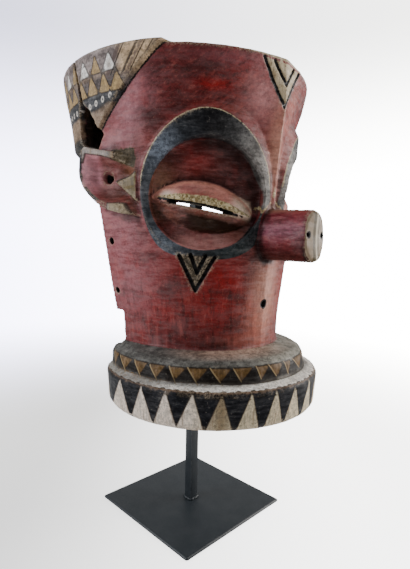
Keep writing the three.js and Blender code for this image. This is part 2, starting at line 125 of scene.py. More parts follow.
def pick_nothing():
    """Leaves no face or edge of the piece in hand selected, so that code can pick its own."""
    edit_mode()
    bpy.ops.mesh.select_all(action="DESELECT")
    object_mode()


def join(source, socket):
    source.id_data.links.new(source, socket)


def fill(node, given):
    """Sets each named input of a node to a number or a colour, or joins another node to it."""
    for name, value in given.items():
        if isinstance(value, (int, float, tuple)):
            node.inputs[name].default_value = value
        else:
            join(value, node.inputs[name])


def add_node(tree, kind, given=None):
    node = tree.nodes.new("ShaderNode" + kind)
    fill(node, given or {})
    return node


def on_piece(tree, output="Object"):
    return add_node(tree, "TexCoord").outputs[output]


def attribute(tree, name, output="Fac"):
    node = add_node(tree, "Attribute")
    node.attribute_name = name
    return node.outputs[output]


def noise(tree, scale, detail=4, rough=0.55, stretch=None, turn=0):
    texture = add_node(tree, "TexNoise", {"Scale": scale, "Detail": detail, "Roughness": rough})
    source = on_piece(tree)
    if stretch:
        mapping = add_node(tree, "Mapping", {"Vector": source})
        mapping.vector_type = "TEXTURE"
        scales = tuple(1 / share for share in stretch)
        fill(mapping, {"Scale": scales, "Rotation": (0, math.radians(turn), 0)})
        source = mapping.outputs["Vector"]
    join(source, texture.inputs["Vector"])
    return texture.outputs["Fac"]


def remap(value, low, high, to_low=0.0, to_high=1.0):
    """Runs smoothly from one number to another while a value goes from low to high."""
    node = add_node(value.id_data, "MapRange", {"Value": value, "From Min": low, "From Max": high})
    node.interpolation_type = "SMOOTHSTEP"
    fill(node, {"To Min": to_low, "To Max": to_high})
    return node.outputs["Result"]


def figure(operation, a, b=0.0):
    tree = next(value.id_data for value in (a, b) if not isinstance(value, (int, float)))
    node = add_node(tree, "Math", {0: a, 1: b})
    node.operation = operation
    return node.outputs[0]


times = partial(figure, "MULTIPLY")
plus = partial(figure, "ADD")
minus = partial(figure, "SUBTRACT")
unsigned = partial(figure, "ABSOLUTE")


def srgb(red, green, blue):
    """A colour as painters' charts give it, 0 to 255, turned into amounts of light."""
    parts = [value / 255 for value in (red, green, blue)]
    return [part / 12.92 if part < 0.04045 else ((part + 0.055) / 1.055) ** 2.4 for part in parts]


def blend_colours(mask, under, over, mode="MIX"):
    """Lays one colour over another. Three numbers are a painter's colour, four are amounts of light."""
    given = {0: mask, 6: under, 7: over}
    for name, value in given.items():
        if isinstance(value, tuple) and len(value) == 3:
            given[name] = (*srgb(*value), 1)
    tree = next(value.id_data for value in given.values() if not isinstance(value, (tuple, float)))
    node = add_node(tree, "Mix")
    node.data_type = "RGBA"
    node.blend_type = mode
    fill(node, given)
    return node.outputs[2]


def axes_of(source):
    return add_node(source.id_data, "SeparateXYZ", {0: source}).outputs


def new_material(name):
    material = bpy.data.materials.new(name)
    material.use_nodes = True
    tree = material.node_tree
    shader = next(node for node in tree.nodes if node.type == "BSDF_PRINCIPLED")
    return material, tree, shader


def make_wear_and_highlight_group():
    """A line along an edge, broken up by a fine noise: paint rubbed through on the mask, a painted highlight
    on the steel.
    """
    group = bpy.data.node_groups.new("wear_and_highlight", "ShaderNodeTree")
    for name, value in (("Edge", 0.0), ("Scale", 260.0), ("Low", 0.36), ("High", 0.56), ("Most", 1.0)):
        socket = group.interface.new_socket(name=name, in_out="INPUT", socket_type="NodeSocketFloat")
        socket.default_value = value
    group.interface.new_socket(name="Bare_and_Highlight", in_out="OUTPUT", socket_type="NodeSocketFloat")
    given = group.nodes.new("NodeGroupInput").outputs
    chips = noise(group, 260, 4, 0.7)
    join(given["Scale"], chips.node.inputs["Scale"])
    broken = remap(chips, 0.36, 0.56)
    join(given["Low"], broken.node.inputs["From Min"])
    join(given["High"], broken.node.inputs["From Max"])
    bare_and_highlight = times(times(broken, given["Edge"]), given["Most"])
    join(bare_and_highlight, group.nodes.new("NodeGroupOutput").inputs["Bare_and_Highlight"])
    return group


def place_wear_and_highlight(tree, edge, scale, low, high, most):
    node = add_node(tree, "Group")
    node.node_tree = wear_and_highlight
    fill(node, {"Edge": edge, "Scale": scale, "Low": low, "High": high, "Most": most})
    return node.outputs["Bare_and_Highlight"]


wear_and_highlight = make_wear_and_highlight_group()
steel, tree, shader = new_material("sprayed_steel")
mottle = noise(tree, 55, 5, 0.6)
fine = noise(tree, 900, 3, 0.6)
scuffs = remap(noise(tree, 170, 6, 0.7, (1, 3.2, 1)), 0.66, 0.74)
paint = blend_colours(remap(mottle, 0.35, 0.7), STEEL_GREY, (0.026, 0.032, 0.037, 1))
paint = blend_colours(times(scuffs, 0.12), paint, (0.16, 0.17, 0.18, 1))
# Painted highlight along the edges of the steel, where they catch the lamps.
edge_highlight = place_wear_and_highlight(tree, attribute(tree, "bare_and_highlight"), 260, 0.36, 0.56, 1)
paint = blend_colours(edge_highlight, paint, STEEL_HIGHLIGHT)
bump = add_node(tree, "Bump", {"Strength": 0.12, "Distance": 0.0004, "Height": fine})
gloss = remap(fine, 0.3, 0.7, 0.36, 0.5)
fill(shader, {"Base Color": paint, "Roughness": gloss, "Normal": bump.outputs["Normal"]})

plate = new_block("steel_plate", (0, 0, PLATE_THICKNESS / 2), (PLATE_SIDE, PLATE_SIDE, PLATE_THICKNESS))
pick_nothing()
for edge in plate.data.edges:
    a, b = (plate.data.vertices[end].co for end in edge.vertices)
    edge.select = abs(a.z - b.z) > 1e-6
edit_mode()
bpy.ops.mesh.bevel(offset=PLATE_CORNER, segments=6, affect="EDGES")
object_mode()
round_edges(plate, PLATE_EDGE, 3)
bpy.ops.object.shade_smooth_by_angle(angle=math.radians(35))


def mark(piece, name, amounts):
    """Writes a number at each point of a piece, for its material to read."""
    layer = piece.data.attributes.new(name, "FLOAT", "POINT")
    layer.data.foreach_set("value", np.asarray(amounts, dtype=np.float32))


def points_of(piece):
    places = np.empty(len(piece.data.vertices) * 3, dtype=np.float32)
    piece.data.vertices.foreach_get("co", places)
    return places.reshape(-1, 3).astype(np.float64)


def ramp(values, low, high):
    share = np.clip((values - low) / (high - low), 0, 1)
    return share * share * (3 - 2 * share)


places = points_of(plate)
half = PLATE_SIDE / 2
rim = np.maximum(np.abs(places[:, 0]), np.abs(places[:, 1]))
front = (places[:, 0] < -half + 0.002) | (places[:, 1] < -half + 0.002)
on_edge = (places[:, 2] > PLATE_THICKNESS - 0.0009) & (rim > half - 0.0007)
# Painted highlight on the top edges of the plate, strongest on the front edges.
mark(plate, "bare_and_highlight", np.where(on_edge, np.where(front, 0.95, 0.35), 0.0))
plate.data.materials.append(steel)
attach(plate, "root")
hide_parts("stand_plate")


# Stand post: a 12 mm square steel bar, welded to the plate at its foot, with a small square
# plate welded on top that carries the crown of the mask from inside. Sprayed like the plate.
POST_SIDE = 0.012
POST_FOOT = 0.0043
HEAD_SIDE = 0.05
HEAD_TOP = 0.5137
HEAD_THICKNESS = 0.004

post = new_block(
    "steel_post",
    (0, 0, (POST_FOOT + HEAD_TOP - HEAD_THICKNESS) / 2),
    (POST_SIDE, POST_SIDE, HEAD_TOP - HEAD_THICKNESS - POST_FOOT),
)
pick_nothing()
for face in post.data.polygons:
    face.select = face.normal.z > 0.9
edit_mode()
bpy.ops.mesh.select_mode(type="FACE")
bpy.ops.mesh.inset(thickness=0, depth=0)
bpy.ops.transform.resize(value=(HEAD_SIDE / POST_SIDE, HEAD_SIDE / POST_SIDE, 1))
bpy.ops.mesh.extrude_region_move(TRANSFORM_OT_translate={"value": (0, 0, HEAD_THICKNESS)})
bpy.ops.mesh.select_mode(type="VERT")
object_mode()
round_edges(post, 0.0011, 3)
bpy.ops.object.shade_smooth_by_angle(angle=math.radians(35))
places = points_of(post)
mark(post, "bare_and_highlight", 0.12 * (np.abs(np.abs(places[:, 0]) - np.abs(places[:, 1])) < 0.001))
post.data.materials.append(steel)
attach(post, "root")
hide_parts("stand_post")

select_nothing()
bpy.ops.mesh.primitive_torus_add(
    location=(0, 0, PLATE_THICKNESS + 0.0006),
    major_radius=0.0072, minor_radius=0.0019, major_segments=72, minor_segments=12,
)
weld = bpy.context.active_object
weld.name = "weld_bead"
bpy.ops.object.transform_apply()
places = points_of(weld)
turn = np.arctan2(places[:, 1], places[:, 0])
square = 1 / np.maximum(np.abs(np.cos(turn)), np.abs(np.sin(turn))) ** 0.72
ripple = 1 + 0.05 * np.sin(turn * 23) + 0.05 * np.sin(turn * 9 + 1)
places[:, :2] *= (square * 0.86 * ripple)[:, None]
places[:, 2] = np.maximum(places[:, 2], PLATE_THICKNESS - 0.0004)
weld.data.vertices.foreach_set("co", places.astype(np.float32).ravel())
bpy.ops.object.shade_smooth()
mark(weld, "bare_and_highlight", np.zeros(len(places)))
weld.data.materials.append(steel)
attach(weld, "root")


# Mask: one block of light wood, hollowed to a wall of about 11 mm and open at the back.
# The carving is worn soft along its edges, so the solid is turned into an even skin of small
# faces, eased, and given the shallow marks of the adze before it is painted.
VOXEL = 0.0012
MOST_TRIANGLES = 188000
SOCKET_TURN = math.radians(39)
SOCKET_HEIGHT = 385
EYE_U, EYE_V = 1.4, -20
EYE_TILT = math.radians(-10.5)
SLIT_OFFSET, SLIT_MIDDLE, SLIT_TAPER = -1.6, -5.5, 0.27
EAR_HOLE_Y, EAR_HOLE_HEIGHT = 3, 394
LOWER_TOP, UPPER_FOOT, COLLAR_TOP = 189.4, 195, 219
HEAD = np.array([
    [204, 91, 118, 14, -105, 2.25],
    [226, 91, 118, 14, -105.5, 2.25],
    [250, 93.5, 121, 16.5, -107.5, 2.25],
    [275, 99, 125, 18.5, -109.5, 2.25],
    [300, 104, 129.5, 20, -111.5, 2.22],
    [330, 109.5, 132, 20, -113.5, 2.15],
    [360, 115.5, 131.5, 20, -116.5, 2.06],
    [400, 123.5, 129.5, 19.5, -120, 2],
    [440, 130, 128.5, 19, -124.7, 2],
    [460, 133, 130, 19, -127.6, 2],
    [476, 135.5, 136, 18.5, -128.8, 2],
    [490, 138, 141, 18, -129.3, 2],
    [510, 141, 145, 18, -129.5, 2],
])
HEAD_BELOW = np.vstack([HEAD[:1], HEAD[:-1]])
HEAD_ABOVE = np.vstack([HEAD[1:], HEAD[-1:]])
HEAD_SLOPES = (HEAD_ABOVE - HEAD_BELOW)[:, 1:] / (HEAD_ABOVE - HEAD_BELOW)[:, :1]


def head_section(height):
    """Half width, half depth, centre, keel and squareness of the head at each height, in mm."""
    z = np.clip(height, HEAD[0, 0], HEAD[-1, 0])
    row = np.clip(np.searchsorted(HEAD[:, 0], z) - 1, 0, len(HEAD) - 2)
    span = (HEAD[row + 1, 0] - HEAD[row, 0])[:, None]
    t = (z - HEAD[row, 0])[:, None] / span
    rise = 3 * t**2 - 2 * t**3
    value = (1 - rise) * HEAD[row, 1:] + rise * HEAD[row + 1, 1:]
    lean = (t**3 - 2 * t**2 + t) * HEAD_SLOPES[row] + (t**3 - t**2) * HEAD_SLOPES[row + 1]
    return (value + lean * span).T


def oval_reach(bearing, wide, deep, squareness):
    across = np.abs(np.sin(bearing)) / wide
    along = np.abs(np.cos(bearing)) / deep
    return (across**squareness + along**squareness) ** (-1 / squareness)


def skin_reach(bearing, height):
    """Distance from the middle of the head to its skin. The front runs flat to the keel."""
    levels = np.arange(204.0, 512.0, 3.0)
    wide, deep, middle, keel, squareness = head_section(levels)
    degrees = np.radians(np.arange(2, 88))[:, None]
    reach = oval_reach(degrees, wide, deep, squareness)
    slope = (middle - keel - reach * np.cos(degrees)) / (reach * np.sin(degrees))
    touch = slope.argmin(axis=0)
    touch_at = [table[touch, range(len(levels))] for table in (
        np.broadcast_to(degrees, reach.shape), reach * np.sin(degrees), reach * np.cos(degrees))]
    touch_turn, touch_wide, touch_deep = (np.interp(height, levels, row) for row in touch_at)
    wide, deep, middle, keel, squareness = head_section(height)
    turn = np.abs(np.arctan2(np.sin(bearing), np.cos(bearing)))
    flat = (middle - keel) * touch_wide
    flat = flat / (np.cos(turn) * touch_wide + np.sin(turn) * (middle - keel - touch_deep))
    round_part = oval_reach(bearing, wide, deep, squareness)
    return np.where((turn < touch_turn) & (middle - keel > deep), flat, round_part)


def neighbour_mean(values, edges, counts):
    total = np.empty_like(values)
    for axis in range(values.shape[1]):
        column = values[:, axis]
        total[:, axis] = np.bincount(edges[:, 0], column[edges[:, 1]], len(values))
        total[:, axis] += np.bincount(edges[:, 1], column[edges[:, 0]], len(values))
    return total / counts[:, None]


def edges_of(piece):
    edges = np.empty(len(piece.data.edges) * 2, dtype=np.int64)
    piece.data.edges.foreach_get("vertices", edges)
    edges = edges.reshape(-1, 2)
    counts = np.bincount(edges.ravel(), minlength=len(piece.data.vertices)).clip(1)
    return edges, counts.astype(float)


def weigh(piece, name, weights):
    """A vertex group from an array of weights, in steps of a fortieth."""
    group = piece.vertex_groups.new(name=name)
    steps = np.round(np.clip(weights, 0, 1) * 40).astype(int)
    for step in np.unique(steps):
        if step:
            group.add(np.flatnonzero(steps == step).tolist(), step / 40, "REPLACE")
    return group


mask = bpy.data.objects.new("carved_mask", frame["nodes"]["mask"].data.copy())
bpy.context.scene.collection.objects.link(mask)
mask.data.materials.clear()
only(mask)
edit_mode()
bpy.ops.mesh.select_all(action="SELECT")
bpy.ops.mesh.remove_doubles(threshold=1e-5)
object_mode()
bpy.ops.mesh.customdata_custom_splitnormals_clear()
modify(mask, "REMESH", mode="VOXEL", voxel_size=VOXEL)

# Flat stretches between the solid's edges are eased until they run round, and the carved
# edges themselves are left crisp.
places = points_of(mask)
edges, counts = edges_of(mask)
pull = np.linalg.norm(neighbour_mean(places, edges, counts) - places, axis=1) / VOXEL
for _ in range(2):
    pull = np.maximum(pull, neighbour_mean(pull[:, None], edges, counts)[:, 0] * 1.4)
weigh(mask, "eased", 1 - ramp(pull, 0.05, 0.11))
for group, rounds in (("eased", 80), ("", 2)):
    modify(mask, "SMOOTH", factor=0.5, iterations=rounds, vertex_group=group)
for name, size, depth in (("adze", 0.016, 0.0005), ("dents", 0.006, 0.0002)):
    texture = bpy.data.textures.new(name, "CLOUDS")
    texture.noise_scale = size
    modify(mask, "DISPLACE", texture=texture, texture_coords="LOCAL", strength=depth, mid_level=0.5)


def place_on_head(places):
    """Bearing from the front, height, distance proud of the skin, and the raw x and y, in mm."""
    x, y, z = (places * 1000).T
    middle = head_section(z)[2]
    bearing = np.arctan2(x, middle - y)
    proud = np.hypot(x, y - middle) - skin_reach(bearing, np.maximum(z, 204))
    return x, y, z, bearing, proud


def socket_frame(side, y, z):
    """Across, up and out of a socket, and along and up its lids, in mm."""
    u = side * math.cos(SOCKET_TURN) - y * math.sin(SOCKET_TURN)
    w = -side * math.sin(SOCKET_TURN) - y * math.cos(SOCKET_TURN)
    v = z - SOCKET_HEIGHT
    along = (u - EYE_U) * math.cos(EYE_TILT) + (v - EYE_V) * math.sin(EYE_TILT)
    above = (v - EYE_V) * math.cos(EYE_TILT) - (u - EYE_U) * math.sin(EYE_TILT)
    return u, v, w, along, above


# The slit of each eye narrows towards the inside, so that only its middle lets light through.
places = points_of(mask)
x, y, z, bearing, proud = place_on_head(places)
u, v, w, along, above = socket_frame(-np.abs(x), y, z)
from_slit = np.abs(above - SLIT_OFFSET)
by_slit = (from_slit > 3.2) & (from_slit < 5.5) & (np.abs(along) < 50) & (w > 40)
by_slit &= (proud > -24) & (w > np.median(w[by_slit]))
lid_face = np.polynomial.Polynomial.fit(along[by_slit], w[by_slit], 4)
depth = lid_face(np.clip(along, -50, 50)) - w
inwards = ramp(depth, 1, 6) * ramp(depth, 24, 16) * ramp(from_slit, 12, 4)
inwards *= ramp(np.abs(along - SLIT_MIDDLE), 60, 43) * (w > 20)
shift_along = -SLIT_TAPER * (along - SLIT_MIDDLE) * inwards
shift_above = -0.2 * (above - SLIT_OFFSET) * inwards
shift_u = shift_along * math.cos(EYE_TILT) - shift_above * math.sin(EYE_TILT)
shift_v = shift_along * math.sin(EYE_TILT) + shift_above * math.cos(EYE_TILT)
places[:, 0] += np.where(x < 0, 1, -1) * shift_u * math.cos(SOCKET_TURN) / 1000
places[:, 1] -= shift_u * math.sin(SOCKET_TURN) / 1000
places[:, 2] += shift_v / 1000

# The hole of each ear closes in the same way behind its mouth.
from_ear_hole = np.hypot(y - EAR_HOLE_Y, z - EAR_HOLE_HEIGHT)
closing = 0.6 * ramp(from_ear_hole, 12, 7) * ramp(proud, -2, -6) * (proud < 2) * (np.abs(x) > 80)
places[:, 1] -= (y - EAR_HOLE_Y) * closing / 1000
places[:, 2] -= (z - EAR_HOLE_HEIGHT) * closing / 1000
places = np.clip(places, np.array(cad_low) + 0.0001, np.array(cad_high) - 0.0001)
mask.data.vertices.foreach_set("co", places.astype(np.float32).ravel())

x, y, z, bearing, proud = place_on_head(places)
unseen = np.where((proud < -6.5) & (z > COLLAR_TOP), 1.0, 0.0)
unseen = np.maximum(unseen, ramp(z, 512.5, 514))
weigh(mask, "unseen", unseen)
fewer = 1 - unseen.mean() * 0.9
modify(mask, "DECIMATE", ratio=fewer, vertex_group="unseen", vertex_group_factor=10)
now = sum(len(face.vertices) - 2 for face in mask.data.polygons)
modify(mask, "DECIMATE", ratio=min(1, MOST_TRIANGLES / now))

# Crumbs that came loose while the skin was made are cleared away, so that one shell remains.
foot = int(points_of(mask)[:, 2].argmin())
pick_nothing()
mask.data.vertices[foot].select = True
edit_mode()
bpy.ops.mesh.select_linked()
bpy.ops.mesh.select_all(action="INVERT")
bpy.ops.mesh.delete(type="VERT")
object_mode()
bpy.ops.object.shade_smooth()


# Paint on the mask: red camwood paste on the face, black on the bands round the sockets, on the
# collar and on the cap, and teeth of white clay and ochre. All of it is brushed on by hand and
# worn through on the arrises, so each colour is kept as its distance from its own edge.
RIM_OVAL = {"u": 2.3, "v": -0.7, "half_width": 64.6, "half_height": 70.4, "upper": 1.88, "lower": 2.35}
DISH_OVAL = {"u": 3.5, "v": -9, "half_width": 58.2, "half_height": 55.6, "upper": 2.08, "lower": 2.1}
EYE_HALF, EYE_UP, EYE_DOWN = 54, 24.2, 27.2
TEAR = [(-23.6, -69), (11, -70.5), (-6.9, -103.6)]
TEAR_CORE = [(-12.5, -68), (2, -69), (-5.8, -86)]
KEEL_CUT = [(-28.8, 507), (28.8, 507), (0, 465.8)]
KEEL_CORE = [(-15.5, 506), (15.5, 506), (0, 487)]
CUT_HALF = 1.9
EAR_FRONT = np.array([-113, -35])
EAR_ALONG = np.array([-0.489, 0.872])
EAR_OUT = np.array([-0.872, -0.489])
EAR_CUP = [
    (4, 401), (24, 411), (41, 415.5), (58.5, 418), (61, 410), (62.3, 400), (60.5, 391), (57, 384.5),
    (50.5, 377.5), (42.5, 371), (32.5, 367), (1, 366.5), (1.5, 384),
]
TRAGUS = [(28.5, 390.5), (1, 398), (-1, 366)]
EAR_WEDGE = [(33, 419), (0, 424), (0, 400), (31, 411)]
COLLAR_LINE = 219.5
NOSE_ROOT, NOSE_HALF, NOSE_HEIGHT, NOSE_RISE = -100, 20.5, 339.5, 32
NOSTRIL_OUT, NOSTRIL_HEIGHT, NOSTRIL_HALF = 11.4, 338, 3.8
HOLES = [(-87.9, 330, 3.6), (-90.7, 276, 3.2), (87.9, 330, 3.6), (90.7, 276, 3.2), (0, 266, 5.2)]

# Teeth as left foot, tip and right foot, in degrees round the collar from the front
LARGE_TEETH = [
    (-107.6, -95.5, -88.4), (-86.8, -79.6, -73.6), (-72.8, -66.4, -61.5), (-61.3, -53.7, -49.1),
    (-47.5, -40.8, -36.1), (-33.7, -27.3, -23.4), (-20.1, -14.4, -10), (-8.6, -2.1, 3), (5, 11.8, 16),
]
LARGE_TEETH += [(turn - 5.5, turn, turn + 5.4) for turn in np.arange(24.2, 126, 12.9)]
LARGE_TEETH += [(-124, -118.5, -112.5)]
SMALL_TEETH = [
    (-101.7, -95, -88.8), (-86.7, -81.9, -77.5), (-75.9, -71.3, -66.8), (-64.2, -61.1, -55.9),
    (-54.4, -50.3, -45), (-43.2, -38.6, -33.4), (-31.8, -28.1, -22), (-19.2, -16.9, -11.7),
    (-11.2, -6.7, -1.4), (0.5, 2.9, 6.3), (9.8, 17.1, 24.2),
]
SMALL_TEETH += [(turn - 4.9, turn, turn + 4.8) for turn in np.arange(31.3, 120, 10.9)]
SMALL_TEETH += [(-113.4, -108.5, -103.8)]
LARGE_FOOT, LARGE_TIP = 152, 186.9
SMALL_TOP, SMALL_TIP = 208.2, 196
LOWER_TIER = {"centre": -32, "radius": 121.5}
UPPER_TIER = {"centre": -24.5, "radius": 112.8}

# Teeth of the cap, in two rows that run round it to the back
CAP_RADIUS = 144
HIGH_TEETH = [(-92.2, -88.6, -85.1), (-84.1, -80.7, -78), (-77.4, -73.5, -70)]
HIGH_TEETH += [(turn - 3.5, turn, turn + 3.4) for turn in np.arange(-96.6, -181, -7.4)]
LOW_TEETH = [(-95, -91.8, -88.7), (-87.6, -84.2, -80.7), (-79.9, -76.8, -74.1), (-73.7, -70.4, -67)]
LOW_TEETH += [(turn - 3.4, turn, turn + 3.2) for turn in np.arange(-99.4, -181, -7.4)]
SLANT_LINES = [-166.6, -152, -145, -137.5, -130.5]
SLANT_LEAN = 0.7
RING_TILT = 0.2


def oval_margin(oval, u, v):
    """Millimetres inside an oval, negative outside it."""
    du, dv = u - oval["u"], v - oval["v"]
    power = np.where(dv >= 0, oval["upper"], oval["lower"])
    share = (np.abs(du / oval["half_width"]) ** power + np.abs(dv / oval["half_height"]) ** power)
    share = np.maximum(share ** (1 / power), 1e-3)
    return np.hypot(du, dv) * (1 / share - 1)


def outline_margin(corners, across, up):
    """Millimetres inside a straight-sided outline, negative outside it."""
    margin = np.full(len(across), 99.0)
    middle = np.mean(corners, axis=0)
    for (a, b), (c, d) in zip(corners, corners[1:] + corners[:1]):
        length = math.hypot(c - a, d - b)
        side = ((c - a) * (up - b) - (d - b) * (across - a)) / length
        facing = (c - a) * (middle[1] - b) - (d - b) * (middle[0] - a)
        margin = np.minimum(margin, side * np.sign(facing))
    return margin


def line_margin(start, end, half_width, across, up):
    """Millimetres inside a line of some width, negative outside it."""
    (a, b), (c, d) = start, end
    length = (c - a) ** 2 + (d - b) ** 2
    share = np.clip(((across - a) * (c - a) + (up - b) * (d - b)) / length, 0, 1)
    return half_width - np.hypot(across - a - share * (c - a), up - b - share * (d - b))


def teeth_margin(teeth, foot, tip, degrees, radius, up):
    scale = radius * math.pi / 180
    margin = np.full(len(up), -99.0)
    for left, middle, right in teeth:
        corners = [(left * scale, foot), (middle * scale, tip), (right * scale, foot)]
        margin = np.maximum(margin, outline_margin(corners, degrees * scale, up))
    return margin


def blob(degrees, up, turn, height, half_turn, half_height):
    """A soft round patch on the skin, 1 in its middle."""
    return np.exp(-(((degrees - turn) / half_turn) ** 2) - ((up - height) / half_height) ** 2)


def bell(values, middle, spread):
    return np.exp(-(((values - middle) / spread) ** 2))


def coated(ground, *coats):
    """Coats laid over a ground, each a colour with its share at every point of the skin."""
    colours = np.tile(srgb(*ground), (len(places), 1)) if isinstance(ground, tuple) else ground
    for colour, share in coats:
        colour = np.asarray(srgb(*colour) if isinstance(colour, tuple) else colour)
        colours = colours + (colour - colours) * np.clip(share, 0, 1)[:, None]
    return colours


def dabbed(ground, across, up, dabs):
    """Soft dabs over a ground, each a colour, its middle, its half sizes and its strength."""
    for colour, *place, strength in dabs:
        ground = coated(ground, (colour, strength * blob(across, up, *place)))
    return ground


places = points_of(mask)
normals = np.empty(len(places) * 3, dtype=np.float32)
mask.data.vertex_normals.foreach_get("vector", normals)
normals = normals.reshape(-1, 3)
x, y, z, bearing, proud = place_on_head(places)
degrees = np.degrees(bearing)
side = -np.abs(x)
side_degrees = -np.abs(degrees)
middle = head_section(z)[2]
outwards = np.stack([x, y - middle], axis=1)
outwards /= np.linalg.norm(outwards, axis=1)[:, None]
facing_out = (normals[:, :2] * outwards).sum(axis=1)

edges, counts = edges_of(mask)
lengths = np.linalg.norm(places[edges[:, 0]] - places[edges[:, 1]], axis=1) * 1000
spacing = np.bincount(edges.ravel(), np.repeat(lengths, 2), len(places)) / counts
bend = ((neighbour_mean(places, edges, counts) - places) * 1000 * normals).sum(axis=1) / spacing**2
for _ in range(3):
    bend = 0.4 * bend + 0.6 * neighbour_mean(bend[:, None], edges, counts)[:, 0]
# Darker in the hollows of the carving: grime, and painted shade where the lamps do not reach.
hollow = ramp(bend, 0.012, 0.06)
arris = ramp(bend, -0.02, -0.07)
wide_bend = bend
for _ in range(12):
    wide_bend = 0.3 * wide_bend + 0.7 * neighbour_mean(wide_bend[:, None], edges, counts)[:, 0]
hollow = np.maximum(hollow, 0.8 * ramp(wide_bend, 0.004, 0.02))

socket_u, socket_v, socket_w, eye_a, eye_b = socket_frame(side, y, z)
on_front = np.minimum(proud + 26, socket_w - 30)
at_front = on_front > 0
rim_in = oval_margin(RIM_OVAL, socket_u, socket_v)
dish_in = oval_margin(DISH_OVAL, socket_u, socket_v)
below_or_outside = np.maximum(ramp(socket_v, 24, 0), ramp(socket_u, -10, -30))
shallow = ramp(dish_in, -5, -2) * at_front * below_or_outside
hollow *= 1 - 0.9 * shallow * ramp(socket_u, 46, 20)
skirt = ramp(rim_in, -34, -26) * ramp(rim_in, 2, -2) * at_front * ramp(socket_v, -30, -10)
hollow *= 1 - 0.92 * skirt
arris *= np.where((np.abs(dish_in) < 5) & at_front, 0, 1)
hollow *= 1 - 0.7 * bell(z, 221, 7) * (proud > -3)
hollow *= 1 - 0.95 * ramp(z, 308, 300) * ramp(np.abs(degrees), 26, 18) * (z > 222) * (proud > -3)
lid_reach = (1 - np.clip(eye_a / EYE_HALF, -1, 1) ** 2) ** 0.75
eye_in = np.where(eye_b > 0, EYE_UP * lid_reach - eye_b, EYE_DOWN * lid_reach + eye_b)
eye_in = np.where(np.abs(eye_a) < EYE_HALF, eye_in, -np.hypot(np.abs(eye_a) - EYE_HALF, eye_b))
ear_u = (np.stack([side, y], axis=1) - EAR_FRONT) @ EAR_ALONG
ear_w = (np.stack([side, y], axis=1) - EAR_FRONT) @ EAR_OUT
on_ear = (z > 353) & (z < 428) & (ear_u > 2) & (ear_u < 70) & (side < -95)
on_ear &= (proud > 1.5) | ((proud > -9.5) & (facing_out > -0.3) & (z > 366) & (z < 421))
hollow = np.where(on_ear, 0.35 * hollow, hollow)
in_cavity = ((proud < -5) & (facing_out < 0.1) & ((dish_in < 0) | (on_front < 0))) | (proud < -30)
to_socket = (np.sign(x) * normals[:, 0] * math.sin(SOCKET_TURN) - normals[:, 1] * math.cos(SOCKET_TURN))
in_cavity |= (proud < -5) & (to_socket < -0.1) & (dish_in > -8) & (z > 300)
in_cavity |= (z < COLLAR_TOP) & (np.hypot(x, y + 28) < 104) & (facing_out < -0.2)
in_cavity |= (z < 152.6) & (np.hypot(x, y + 32) < 116.5)
in_cavity &= ~on_ear
in_cavity |= (z > 425) & (proud < -1.2) & (facing_out < 0.6) & (side_degrees < -79)
on_crown = (z > 500) & (proud < -2) & (normals[:, 2] > 0.6)
in_cavity &= ~on_crown
lid_in = eye_in + 4 * ramp(eye_a, 28, 44) * ramp(eye_b, -2, 4)
hollow *= 1 - 0.85 * ramp(lid_in, -1, 2) * ramp(eye_a, 12, 32) * ramp(eye_b, 0, 4) * at_front
cap_in = np.minimum((y + 69 + 1.1 * (z - 508)) / 1.49, z - 430.5)
hollow *= 1 - 0.88 * ((z > 434) & (np.abs(cap_in) < 7))
nose_share = (np.abs(x / NOSE_HALF) ** 2.5 + np.abs((z - NOSE_HEIGHT) / NOSE_RISE) ** 2.5) ** 0.4
nose_in = np.minimum(NOSE_ROOT - y, NOSE_HALF * (1 - nose_share))
collar_in = COLLAR_LINE - z
lower_degrees = np.degrees(np.arctan2(x, LOWER_TIER["centre"] - y))
upper_degrees = np.degrees(np.arctan2(x, UPPER_TIER["centre"] - y))

RED = (116, 40, 38)
RED_BRIGHT = (150, 26, 24)
RED_DARK = (82, 40, 40)
MAUVE = (168, 108, 114)
ORANGE = (160, 78, 62)
SALMON = (212, 142, 126)
WINE = (112, 36, 44)
EAR_RED = (255, 190, 200)
# Towards the sides the red turns a lighter mauve: dust, and painted sheen where the side lamps catch the
# paint.
red_paint = coated(
    RED,
    (MAUVE, 0.58 * ramp(side_degrees, -48, -78) * ramp(z, 225, 300)),
    (MAUVE, 0.14 * ramp(side_degrees, -35, -70)),
)
